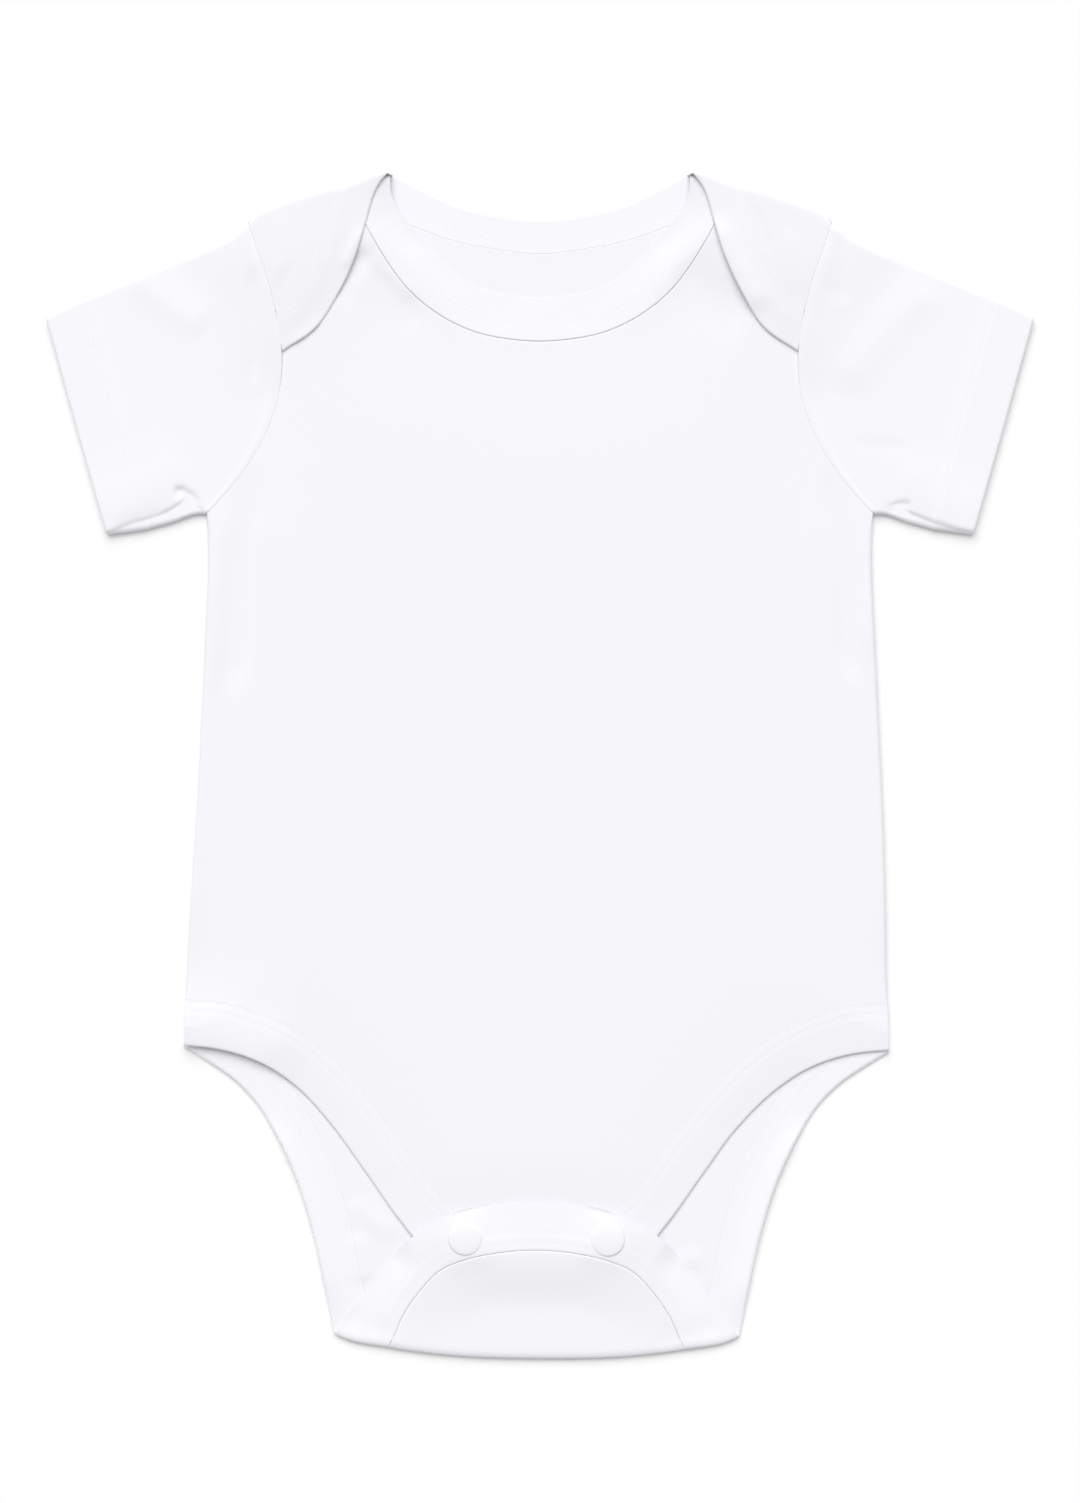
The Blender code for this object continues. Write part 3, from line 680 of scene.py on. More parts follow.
def lay_back(x, y, wall):
    """The outside of the back: underneath, or past a fold on top of the front."""
    past = past_fold(x, y, lay_back)
    line = np.abs(y) - past
    plan, share = over_fold(past, back_bend(x, y))
    plan = np.where(y > 0, 1.0, -1.0) * (line + plan)
    over = np.where(y > 0, lap_rest(x, plan), flap_rest(x, plan))
    lift = (1.0 - share) * folds(x, plan, BACK_FOLDS)
    x, plan = spread_hips(x, plan)
    return x, plan, share * (over + wall) + lift


def lay_front(x, y, wall):
    """The outside of the front: on top, or past its shoulder line and turned under."""
    past = past_fold(x, y, lay_front)
    plan, share = over_fold(past, FRONT_BEND)
    plan = y - past + plan
    top = front_rest(x, plan) + wall
    x = x - FRONT_SHIFT * smooth(-plan, *FRONT_SHIFT_RANGE)
    return x, plan, mix(top, layer(x), share)


def settle(x, y, z):
    """A point, with the slight lean and tilt of the garment's lower half."""
    leant = x - LEAN * smooth(-y, *LEAN_RANGE)
    return np.stack((leant, y - TILT * x * smooth(-y, *TILT_RANGE), z), axis=-1)


def laid(x, y, lay, wall):
    """Points on the outside of a laid piece, and the way out of it there."""

    def at(x, y):
        return settle(*lay(x, y, wall))

    across = at(x + PROBE, y) - at(x - PROBE, y)
    up = at(x, y + PROBE) - at(x, y - PROBE)
    out = unit(np.cross(across, up))
    return at(x, y), out if lay is lay_front else -out


# Meshes


def same(lip):
    """An edge that ends in one way, on the flat and where it has folded over."""
    return Edge(lip, lip)


def edge_depth(away, edge, share=0.0):
    """How far the outside and the inside have dropped, this far in from an edge.

    share is 1 where the piece has folded over.
    """
    total = 0.0
    for lip, weight in ((edge.flat, 1.0 - share), (edge.over, share)):
        past = 1.0 - np.clip((away - lip.gap) / lip.reach, 0.0, 1.0)
        made = past**lip.power if lip.power else 1.0 - np.sqrt(np.maximum(1.0 - past * past, 0.0))
        faded = lip.fade * (1.0 - np.clip(away / FADE_REACH, 0.0, 1.0))
        total = total + (weight * made)[..., None] * np.array((lip.drop, lip.under))
        total = total + (weight * faded)[..., None] * (1.0, 0.0)
    return total


def lip_rows(length, step, first, last):
    """Distances across a piece: close together round the lip at both ends, about one step apart between."""
    near = first.gap + first.reach * (1.0 - np.cos(LIP_TURNS))
    far = length - last.gap - last.reach * (1.0 - np.cos(LIP_TURNS[::-1]))
    count = max(2, round((far[0] - near[-1]) / step))
    return np.concatenate((near, np.linspace(near[-1], far[0], count + 1)[1:-1], far))


def add_mesh(name, places, faces, finish, grain=None):
    mesh = bpy.data.meshes.new(name)
    mesh.from_pydata((places * MM).tolist(), [], [list(face) for face in faces])
    mesh.validate()
    mesh.shade_smooth()
    if grain is not None:
        layer = mesh.attributes.new("grain", "FLOAT_VECTOR", "POINT")
        layer.data.foreach_set("vector", np.ravel(grain * MM))
    mesh.materials.append(finish)
    made = bpy.data.objects.new(name, mesh)
    bpy.context.scene.collection.objects.link(made)
    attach(made, BODY)
    return made


def add_shell(name, shape, wall, finish):
    """A cloth wall: its outside, its inside one wall away, and the rims between."""
    drop = np.minimum(shape.depth[..., :1], wall - THINNEST)
    under = np.minimum(shape.depth[..., 1:], wall - THINNEST - drop)
    outside = (shape.outside - drop * shape.out).reshape(-1, 3)
    inside = (shape.outside - (wall - under) * shape.out).reshape(-1, 3)
    count = len(outside)
    faces = [tuple(face) for face in shape.faces]
    faces += [tuple(k + count for k in face[::-1]) for face in faces]
    for rim in shape.rims:
        for a, b in zip(rim, np.roll(rim, -1)):
            faces.append((b, a, a + count, b + count))
    cut = shape.cut.reshape(count, -1)
    grain = np.column_stack((cut, np.zeros(count)))
    made = add_mesh(name, np.vstack((outside, inside)), faces, finish, np.vstack((grain, grain)))
    sharpen(made.data, np.concatenate(shape.rims), count)
    return made


def sharpen(mesh, rim, count):
    """Keeps the edges along a shell's rims crisp, on its outside and its inside."""
    ends = np.empty(2 * len(mesh.edges), dtype=np.int32)
    mesh.edges.foreach_get("vertices", ends)
    ends = ends.reshape(-1, 2)
    along_rim = np.isin(ends % count, rim).all(axis=1) & (ends[:, 0] // count == ends[:, 1] // count)
    mesh.attributes.new("sharp_edge", "BOOLEAN", "EDGE").data.foreach_set("value", along_rim)


def quads(rows, columns, wrap=False, flip=False):
    """Faces of a grid of points, and the rims at its open ends."""
    index = np.arange(rows * columns).reshape(rows, columns)
    if wrap:
        index = np.column_stack((index, index[:, 0]))
    corners = (index[:-1, :-1], index[1:, :-1], index[1:, 1:], index[:-1, 1:])
    faces = np.stack([corner.ravel() for corner in corners], axis=-1)
    if wrap:
        rims = [index[0, :-1][::-1], index[-1, :-1]]
    else:
        rims = [np.concatenate((index[:, 0], index[-1, 1:], index[-2::-1, -1], index[0, -2:0:-1]))]
    if flip:
        faces = faces[:, ::-1]
        rims = [rim[::-1] for rim in rims]
    return faces, rims


# Panels


def ring_in(outline, lips):
    """Rings of points that follow an outline inwards round its lip, with how deep each has dropped."""
    before, after = np.roll(outline, 1, axis=0), np.roll(outline, -1, axis=0)
    arrive, leave = unit(outline - before), unit(after - outline)
    turned = np.sum(arrive * leave, axis=1)
    mitre = (arrive + leave) / np.maximum(1.0 + turned, MITRE_LIMIT)[:, None]
    inward = np.column_stack((-mitre[:, 1], mitre[:, 0]))
    for _ in range(2):
        lips = (np.roll(lips, 1, axis=0) + 2.0 * lips + np.roll(lips, -1, axis=0)) / 4.0
    gap, reach, drop, under = lips.T[:4]
    full = reach + RIM_STEP
    room = np.minimum(1.0, CORNER_LIP + CORNER_SLOPE * from_corner(outline, turned) / full)
    rings, depths = [], []
    for turn in LIP_TURNS:
        rings.append(outline + inward * (gap + room * reach * (1.0 - math.cos(turn)))[:, None])
        depths.append(np.column_stack((drop, under)) * (1.0 - math.sin(turn)))
    rings.append(outline + inward * (gap + room * full)[:, None])
    depths.append(np.zeros((len(outline), 2)))
    return rings, depths


def from_corner(outline, turned):
    """How far round a closed outline each point is from its nearest sharp corner."""
    steps = np.linalg.norm(outline - np.roll(outline, 1, axis=0), axis=1)
    away = np.where(turned < CORNER_TURN, 0.0, np.inf)
    for _ in range(CORNER_REACH):
        away = np.minimum(away, np.roll(away, 1) + steps)
        away = np.minimum(away, np.roll(away + steps, -1))
    return away


def fill_spots(ring, lines):
    """Points inside a ring: rows close together along each fold, and an even spread elsewhere."""
    rows = []
    for line, inset_by, bend in lines:
        on_fold = along(line, np.arange(0.0, 1.0, FOLD_STEP / runs_of(line)[-1]))
        for row in FOLD_ROWS * bend - inset_by:
            shifted = on_fold + np.array((0.0, 1.0)) * np.sign(line[0, 1]) * row
            rows += [shifted, shifted * (-1.0, 1.0)]
    low, high = ring.min(axis=0), ring.max(axis=0)
    spread = []
    for k, y in enumerate(np.arange(low[1], high[1], PANEL_STEP * math.sqrt(3.0) / 2.0)):
        x = np.arange(0.0, high[0], PANEL_STEP) + (k % 2) * PANEL_STEP / 2.0
        x = np.concatenate((-x[::-1], x[x > 0.0]))
        spread.append(np.column_stack((x, np.full(len(x), y))))
    spread = np.vstack(spread)
    for line, inset_by, bend in lines:
        out = np.abs(spread[:, 0])
        past = np.sign(line[0, 1]) * spread[:, 1] - (np.abs(level_at(line, out)) - inset_by)
        beside = (out > line[:, 0].max() + PANEL_STEP) | (out < line[:, 0].min() - PANEL_STEP)
        spread = spread[(np.abs(past) > bend + PANEL_STEP / 2.0) | beside]
    rim = tree_of(ring)
    kept = []
    for places, clear in ((np.vstack(rows), FOLD_CLEAR), (spread, PANEL_STEP * PANEL_CLEAR)):
        kept.append(places[away_from(rim, *places.T) > clear])
    kept = np.unique(np.round(np.vstack(kept), 3), axis=0)
    return kept[inside(ring, kept)]


def inside(ring, places):
    """Whether each place lies in a closed ring."""
    a, b = ring, np.roll(ring, -1, axis=0)
    within = np.zeros(len(places), dtype=bool)
    for (ax, ay), (bx, by) in zip(a, b):
        if ay == by:
            continue
        spans = (ay > places[:, 1]) != (by > places[:, 1])
        within ^= spans & (places[:, 0] < ax + (bx - ax) * (places[:, 1] - ay) / (by - ay))
    return within


def panel_shape(runs, lines, lay):
    """A flat-cut panel, laid. runs is its right half, as stretches of its outline with how each ends."""
    outline = joined([curve for curve, _ in runs])
    lips = []
    for curve, (_, edge) in zip(outline, runs):
        share = turned_over(curve[:, 0], curve[:, 1], lay)[:, None]
        lips.append(mix(np.array(edge.flat), np.array(edge.over), share))
    outline, lips = np.vstack(outline), np.vstack(lips)
    outline = np.vstack((outline, outline[-2:0:-1] * (-1.0, 1.0)))
    lips = np.vstack((lips, lips[-2:0:-1]))
    area = np.sum(outline[:, 0] * np.roll(outline[:, 1], -1) - np.roll(outline[:, 0], -1) * outline[:, 1])
    if area < 0:
        outline, lips = outline[::-1], lips[::-1]
    rings, depths = ring_in(outline, lips)
    count = len(outline)
    faces = []
    for k in range(len(rings) - 1):
        here = np.arange(count) + k * count
        after = np.roll(here, -1)
        faces += list(zip(here, after, after + count, here + count))
    spots = fill_spots(rings[-1], lines)
    places = [Vector(place) for place in (*rings[-1], *spots)]
    edges = [(k, (k + 1) % count) for k in range(count)]
    kept, _, found, origin = delaunay_2d_cdt(places, edges, [list(range(count))], 1, 1e-6)[:4]
    if len(kept) != len(places):
        raise RuntimeError("a panel's points don't all stand apart")
    first = (len(rings) - 1) * count
    faces += [tuple(origin[k][0] + first for k in face) for face in found]
    cut = np.vstack((*rings, spots))
    depth = np.concatenate((*depths, np.zeros((len(spots), 2))))
    outside, out = laid(cut[:, 0], cut[:, 1], lay, JERSEY_WALL)
    rim = np.arange(count)
    if lay is lay_back:
        faces = [face[::-1] for face in faces]
        rim = rim[::-1]
    return Shape(outside, out, faces, [rim], cut, depth)


def back_shape():
    lap_arm = ARM_LINE[ARM_LINE[:, 1] > LAP_END][::-1]
    runs = (
        (seam_line(NECK_BACK), Edge(NAPE_SEAM, LAP_SEAM)),
        (lap_arm * (1.0, -1.0) + level_at(SHOULDER, lap_arm[:, :1]) * (0.0, 2.0), same(ARM_SEAM)),
        (ARM_LINE, same(ARM_SEAM)),
        (SIDE_LINE, same(SIDE_SEAM)),
        (seam_line(LEG_BACK), Edge(LEG_SEAM, FLAP_SEAM)),
    )
    return panel_shape(runs, ((SHOULDER, 0.0, BACK_BEND), (CROTCH, 0.0, BACK_BEND)), lay_back)


def front_shape():
    turn = through(TURN_ARMHOLE, FINE_STEP)
    leg = seam_line(LEG_FRONT)
    runs = (
        (seam_line(NECK_FRONT), same(SCOOP_SEAM)),
        (through(FRONT_TURN, FINE_STEP), same(TURNED_IN)),
        (turn, same(TURNED_IN)),
        (ARM_LINE[ARM_LINE[:, 1] < turn[-1, 1]], same(ARM_SEAM)),
        (SIDE_LINE[SIDE_LINE[:, 1] > leg[0, 1]], same(SIDE_SEAM)),
        (leg, same(LEG_SEAM)),
    )
    return panel_shape(runs, ((SHOULDER, FRONT_INSET, FRONT_BEND),), lay_front)


# Bindings


def band_sections(table):
    """The two edges of a binding, free and sewn, point by point along it."""
    rows = mirrored(table)
    free, sewn = rows[:, :2], rows[:, 2:]
    counts = np.maximum(counts_for(free, BAND_STEP), counts_for(sewn, BAND_STEP))
    free, sewn = through(free, BAND_STEP, counts), through(sewn, BAND_STEP, counts)
    middle = (free + sewn) / 2.0
    runs = runs_of(middle)
    want = lip_rows(runs[-1], BAND_STEP, BUTTED, BUTTED)
    index = np.arange(len(runs))
    place = np.interp(want, runs, index)
    return read_off(place, index, free), read_off(place, index, sewn), want


def band_shape(band):
    """A folded rib binding, laid, its free edge rolled and its stitch rows pressed in."""
    free, sewn, run = band_sections(band.table)
    width = np.linalg.norm(sewn - free, axis=1)
    gap = band.sewn.flat.gap
    count = int((width.max() - 2.0 * BAND_RIM[-1]) / BAND_ROW)
    share = np.linspace(0.0, 1.0, count + 2)[1:-1]
    room = (width - gap - 2.0 * BAND_RIM[-1])[:, None]
    near = np.broadcast_to(BAND_RIM, (len(width), len(BAND_RIM)))
    far = (width - gap)[:, None] - BAND_RIM[::-1]
    away = np.hstack((near, BAND_RIM[-1] + room * share, far))
    cut = free[:, None] + (sewn - free)[:, None] * (away / width[:, None])[..., None]
    outside, out = laid(cut[..., 0], cut[..., 1], band.lay, BINDING_WALL)
    over = turned_over(cut[..., 0], cut[..., 1], band.lay)
    from_seam = width[:, None] - away
    ends = np.minimum(run, run[-1] - run)[:, None]
    depth = edge_depth(away, band.free, over)
    depth = np.maximum(depth, edge_depth(from_seam, band.sewn, over))
    depth = np.maximum(depth, edge_depth(ends, same(BUTTED)))
    for at in band.rows:
        depth = depth + band.press * np.exp(-(((from_seam - at) / STITCH_DENT) ** 2))[..., None]
    grain = np.stack((np.broadcast_to(run[:, None], away.shape), away), axis=-1)
    middle = len(free) // 2
    ahead, across = free[middle + 1] - free[middle], sewn[middle] - free[middle]
    turned = ahead[0] * across[1] - ahead[1] * across[0] > 0
    faces, rims = quads(*away.shape, flip=turned == (band.lay is lay_back))
    return Shape(outside, out, faces, rims, grain, depth)


def band_rows(band):
    """Lines of points along a binding's stitch rows, on its outside and on its inside."""
    free, sewn, _ = band_sections(band.table)
    width = np.linalg.norm(sewn - free, axis=1)[:, None]
    for at in band.rows:
        cut = sewn + (free - sewn) * at / width
        line, out = laid(cut[:, 0], cut[:, 1], band.lay, BINDING_WALL)
        drop, under = edge_depth(width[:, 0] - at, band.free, turned_over(cut[:, 0], cut[:, 1], band.lay)).T
        yield line - out * (drop + band.press)[:, None], out
        yield line - out * (BINDING_WALL - under - band.press)[:, None], -out


# Sleeves


def patch_at(patch, u, w):
    """Points of the patch between four edges: u runs along the top and underside, w down the two ends."""
    u, w = np.broadcast_arrays(u, w)
    top, under = along(patch.top, u), along(patch.under, u)
    start, end = along(patch.start, w), along(patch.end, w)
    u, w = u[..., None], w[..., None]
    near, far = mix(patch.top[0], patch.under[0], w), mix(patch.top[-1], patch.under[-1], w)
    return mix(top, under, w) + mix(start, end, u) - mix(near, far, u)


def tube_at(patch, side, wall, u, w, up):
    """Points on the outside of a flattened tube."""
    spot = patch_at(patch, u, w)
    x, y = spot[..., 0] * side, spot[..., 1]
    return settle(x, y, up * (sleeve_rest(x, y) + wall) + (1.0 - up) * folds(x, y, BACK_FOLDS))


def tube_shape(side, patch, wall, first, last, ridges, head_bend):
    """A sleeve or its hem, pressed flat, as rings from the body outwards."""
    patch = Patch(*(through(edge, FINE_STEP) for edge in patch))
    length = (runs_of(patch.top)[-1] + runs_of(patch.under)[-1]) / 2.0
    run = lip_rows(length, SLEEVE_STEP, first, last)
    u = run / length
    width = np.linalg.norm(along(patch.top, u) - along(patch.under, u), axis=1)[:, None]
    bend = SLEEVE_BEND / width
    head = mix(SLEEVE_BEND, head_bend, fall(run, *SLEEVE_HEAD_OUT))[:, None] / width
    count = round(float(width.max()) / SLEEVE_ROW)
    upper = head + (1.0 - head - bend) * np.linspace(0.0, 1.0, count)
    round_off = 1.0 - np.cos(SLEEVE_TURNS)
    under_arm, on_top = (1.0 - bend * round_off)[:, 1:-1], (head * round_off)[:, -2:0:-1]
    w = np.hstack((upper, under_arm, upper[:, ::-1], on_top))
    rise = (1.0 + np.sin(SLEEVE_TURNS)) / 2.0
    up = np.concatenate((np.ones(count), rise[1:-1], np.zeros(count), rise[-2:0:-1]))
    outside = tube_at(patch, side, wall, u[:, None], w, up[None, :])
    ahead = np.gradient(outside, axis=0)
    around = np.roll(outside, -1, axis=1) - np.roll(outside, 1, axis=1)
    out = unit(np.cross(around, ahead)) * side
    depth = np.maximum(edge_depth(run, same(first)), edge_depth(run[-1] - run, same(last)))
    for ridge in ridges:
        away = run - ridge.place % run[-1]
        depth = depth - np.array((ridge.rise, 0.0)) * np.exp(-((away / ridge.width) ** 2))[:, None]
    depth = np.broadcast_to(depth[:, None], (*w.shape, 2))
    grain = np.stack((np.broadcast_to(run[:, None], w.shape), w * width), axis=-1)
    faces, rims = quads(*w.shape, wrap=True, flip=side > 0)
    return Shape(outside, out, faces, rims, grain, depth)


def ring_row(shape, at):
    """The ring of points round a tube that is nearest to this far along it, on its outside."""
    nearest = int(np.argmin(np.abs(shape.cut[:, 0, 0] - at)))
    out = shape.out[nearest]
    return shape.outside[nearest] - shape.depth[nearest, :, :1] * out, out


# Stitching


def stitches(name, lines, finish, sewing, thickness):
    """Straight stitches along laid lines, each a short thread that dips into the cloth at both ends."""
    share, lift, thin = np.transpose(STITCH_FORM)
    thread = sewing.thread * thickness
    sides, levels = len(STITCH_TURNS), len(STITCH_FORM)
    grid, _ = quads(levels, sides, wrap=True, flip=True)
    caps = [range(sides), range((levels - 1) * sides, levels * sides)[::-1]]
    one = [tuple(face) for face in (*grid, *caps)]
    places, faces = [], []
    for line, out in lines:
        runs = runs_of(line)
        count = int(runs[-1] / sewing.pitch)
        middle = (np.arange(count) + 0.5) * runs[-1] / count
        want = middle[:, None] + share * sewing.length
        spot = read_off(want, runs, line)
        up = unit(read_off(want, runs, out))
        ahead = unit(spot[:, -1:] - spot[:, :1])
        beside = unit(np.cross(up, ahead))
        spot = spot + up * lift[:, None]
        ring = np.cos(STITCH_TURNS)[:, None] * beside[:, :, None]
        ring = ring + np.sin(STITCH_TURNS)[:, None] * up[:, :, None]
        ring = spot[:, :, None] + ring * (thin * thread / 2.0)[:, None, None]
        base = sum(len(place) for place in places)
        places.append(ring.reshape(-1, 3))
        for start in range(base, base + count * levels * sides, levels * sides):
            faces += [tuple(start + c for c in face) for face in one]
    return add_mesh(name, np.vstack(places), faces, finish)


# Materials

# Sizes of the nap's tufts, of the faint clouds in the white and of the mould's orange peel
NAP_SPOT = 3.846
CLOUD = 45.45
CLOUD_DEPTH = 0.992
PEEL = 1.43
PEEL_DEPTH = 0.01


def linear(colour):
    """An sRGB hex value as linear colour."""
    parts = [int(colour[k : k + 2], 16) / 255.0 for k in (0, 2, 4)]
    return [part / 12.92 if part <= 0.04045 else ((part + 0.055) / 1.055) ** 2.4 for part in parts]


def add_node(tree, kind, links=None, **settings):
    """A node with its settings and its links: an input's name, and the socket or value that goes in."""
    made = tree.nodes.new(kind)
    for name, value in settings.items():
        setattr(made, name, value)
    for name, value in (links or {}).items():
        if isinstance(value, bpy.types.NodeSocket):
            tree.links.new(value, made.inputs[name])
        else:
            made.inputs[name].default_value = value
    return made


def new_material(name):
    made = bpy.data.materials.new(name)
    made.use_nodes = True
    made.node_tree.nodes.clear()
    return made, made.node_tree


def bands_per_metre(spacing):
    """The scale that gives a Wave Texture one band for each spacing in millimetres."""
    return 2.0 * math.pi / (20.0 * spacing * MM)


def spots_per_metre(size):
    """The scale that gives a Noise Texture spots of this many millimetres."""
    return 1.0 / (size * MM)


def knit(name, colour, wale, course, height, rough, sheen):
    """Knitted cotton: wales along the grain and courses across it, as faint relief under a soft nap."""
    made, tree = new_material(name)
    grain = add_node(tree, "ShaderNodeAttribute", attribute_name="grain").outputs["Vector"]
    waves = []
    for axis, spacing, bent in (("X", wale, 0.6), ("Y", course, 0.8)):
        links = {"Vector": grain, "Scale": bands_per_metre(spacing), "Distortion": bent, "Detail": 1.0}
        waves.append(add_node(tree, "ShaderNodeTexWave", links, bands_direction=axis).outputs["Fac"])
    loops = add_node(tree, "ShaderNodeMath", {0: waves[0], 1: waves[1]}, operation="MULTIPLY")
    links = {"Vector": grain, "Scale": spots_per_metre(NAP_SPOT), "Detail": 3.0}
    nap = add_node(tree, "ShaderNodeTexNoise", links)
    links = {0: nap.outputs["Fac"], 1: 0.5, 2: loops.outputs[0]}
    relief = add_node(tree, "ShaderNodeMath", links, operation="MULTIPLY_ADD")
    links = {"Height": relief.outputs[0], "Strength": 1.0, "Distance": height * MM}
    bump = add_node(tree, "ShaderNodeBump", links)
    links = {"Vector": grain, "Scale": spots_per_metre(CLOUD), "Detail": 2.0}
    cloud = add_node(tree, "ShaderNodeTexNoise", links)
    pale = linear(colour)
    clouded = [part * CLOUD_DEPTH for part in pale]
    links = {"Factor": cloud.outputs["Fac"], 6: (*clouded, 1.0), 7: (*pale, 1.0)}
    tint = add_node(tree, "ShaderNodeMix", links, data_type="RGBA")
    links = {
        "Base Color": tint.outputs[2],
        "Normal": bump.outputs["Normal"],
        "Roughness": rough,
        "Specular IOR Level": 0.2,
        "Sheen Weight": sheen,
        "Sheen Roughness": 0.5,
    }
    shader = add_node(tree, "ShaderNodeBsdfPrincipled", links)
    add_node(tree, "ShaderNodeOutputMaterial", {"Surface": shader.outputs["BSDF"]})
    return made


def moulded(name, colour):
    """Moulded polyacetal: smooth and slightly glossy, with a faint orange peel from the mould."""
    made, tree = new_material(name)
    place = add_node(tree, "ShaderNodeTexCoord").outputs["Object"]
    links = {"Vector": place, "Scale": spots_per_metre(PEEL), "Detail": 2.0}
    peel = add_node(tree, "ShaderNodeTexNoise", links)
    links = {"Height": peel.outputs["Fac"], "Strength": 1.0, "Distance": PEEL_DEPTH * MM}
    bump = add_node(tree, "ShaderNodeBump", links)
    colour = (*linear(colour), 1.0)
    links = {"Base Color": colour, "Normal": bump.outputs["Normal"], "Roughness": 0.4, "IOR": 1.48}
    shader = add_node(tree, "ShaderNodeBsdfPrincipled", links)
    add_node(tree, "ShaderNodeOutputMaterial", {"Surface": shader.outputs["BSDF"]})
    return made


def plain(name, colour, rough):
    """Matt paper, which gives the pale ground that the garment lies on."""
    made, tree = new_material(name)
    links = {"Base Color": (*linear(colour), 1.0), "Roughness": rough, "Specular IOR Level": 0.0}
    shader = add_node(tree, "ShaderNodeBsdfPrincipled", links)
    add_node(tree, "ShaderNodeOutputMaterial", {"Surface": shader.outputs["BSDF"]})
    return made


# Knits: colour, spacing of wales and courses, relief, roughness and sheen. Interlock is even and matt. The
# sleeves' copy is the same jersey painted a shade lighter. That is painted light, for the sleeves lying
# brighter to the light. Rib has wider wales, and spun thread is finely ribbed by its twist.
KNITS = {
    "cotton_interlock_jersey": ("jersey_colour", 0.9, 0.7, 0.008, 0.9, 0.05),
    "cotton_interlock_jersey_painted_lighter": ("sleeve_painted_light_colour", 0.9, 0.7, 0.008, 0.9, 0.05),
    "cotton_rib_knit": ("rib_colour", 1.2, 0.8, 0.012, 0.9, 0.05),
    "spun_polyester_thread": ("thread_colour", 0.4, 0.4, 0.01, 0.8, 0.0),
}


def finish_of(name):
    """A finish, made the first time that a piece asks for it."""
    if name in bpy.data.materials:
        return bpy.data.materials[name]
    cloth = bpy.context.scene.bodysuit_cloth
    if name in KNITS:
        colour, *sizes = KNITS[name]
        return knit(name, getattr(cloth, colour), *sizes)
    return moulded(name, cloth.snap_colour)


# What a user would change


class BodysuitCloth(PropertyGroup):
    jersey_colour: StringProperty(name="Jersey", description="sRGB hex", default="F4F3F8")
    # The sleeves' colour is the body's jersey painted a shade lighter: painted light for the brighter light
    # on the sleeves
    sleeve_painted_light_colour: StringProperty(name="Sleeves", description="sRGB hex", default="F6F5FA")
    rib_colour: StringProperty(name="Rib", description="sRGB hex", default="F5F4F9")
    thread_colour: StringProperty(name="Thread", description="sRGB hex", default="F8F7FB")
    snap_colour: StringProperty(name="Snaps", description="sRGB hex", default="F6F6F9")


class BodysuitStitches(PropertyGroup):
    length: FloatProperty(name="Stitch length", description="Thread that shows, mm", default=2.3)
    pitch: FloatProperty(name="Stitch pitch", description="From one stitch to the next, mm", default=2.9)
    thread: FloatProperty(name="Thread", description="How thick the thread is, mm", default=0.18)


class BodysuitStage(PropertyGroup):
    dome: FloatProperty(name="Dome", description="How bright the white surroundings are", default=0.43)
    key: FloatProperty(name="Key", description="Strength of the light from the top", default=2.44)
    key_spread: FloatProperty(
        name="Key spread", description="How wide the light is", default=math.radians(55.0), subtype="ANGLE"
    )
    key_rise: FloatProperty(
        name="Key height", description="Angle above the floor", default=math.radians(50.0), subtype="ANGLE"
    )


def dress(piece, node):
    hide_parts(node)
    return piece


# The stitch rows are placed from the seam. Last, how deep they press in and how thick their thread looks.
BINDINGS = (
    Binding(
        "neck_binding_back", NECK_BACK, lay_back,
        Edge(FADED_IN, LAP_EDGE), Edge(NAPE_SEAM, LAP_SEAM),
        (3.6,), 0.0, 0.6,
    ),
    Binding(
        "neck_binding_front", NECK_FRONT, lay_front,
        Edge(FADED, FADED_IN), same(SCOOP_SEAM),
        (5.8,), 0.0, 0.6,
    ),
    Binding(
        "leg_binding_back", LEG_BACK, lay_back,
        Edge(FOLDED, FLAP_EDGE), Edge(LEG_SEAM, FLAP_SEAM),
        (2.6, 5.8), 0.04, 0.6,
    ),
    Binding(
        "leg_binding_front", LEG_FRONT, lay_front,
        same(FRONT_LEG_EDGE), same(LEG_SEAM),
        (3.6, 0.7), 0.05, 0.7,
    ),
)


class BODYSUIT_OT_panels(Operator):
    """Lays the back, with its laps and flap, and the front"""

    bl_idname = "bodysuit.panels"
    bl_label = "Panels"

    def execute(self, context):
        jersey = finish_of("cotton_interlock_jersey")
        back = dress(add_shell("back", back_shape(), JERSEY_WALL, jersey), "back_panel")
        front = dress(add_shell("front", front_shape(), JERSEY_WALL, jersey), "front_panel")
        return {"FINISHED"}


class BODYSUIT_OT_bindings(Operator):
    """Lays the folded rib bindings of the neck and legs, with their stitching"""

    bl_idname = "bodysuit.bindings"
    bl_label = "Bindings"

    def execute(self, context):
        sewing = context.scene.bodysuit_stitches
        rib = finish_of("cotton_rib_knit")
        thread = finish_of("spun_polyester_thread")
        for band in BINDINGS:
            made = add_shell(band.name + "_rib", band_shape(band), BINDING_WALL, rib)
            dress(made, band.name)
            sewn = stitches(band.name + "_stitches", band_rows(band), thread, sewing, band.thread)
            free, seam, run = band_sections(band.table)
            "front" if "back" in band.name else "back"
        return {"FINISHED"}


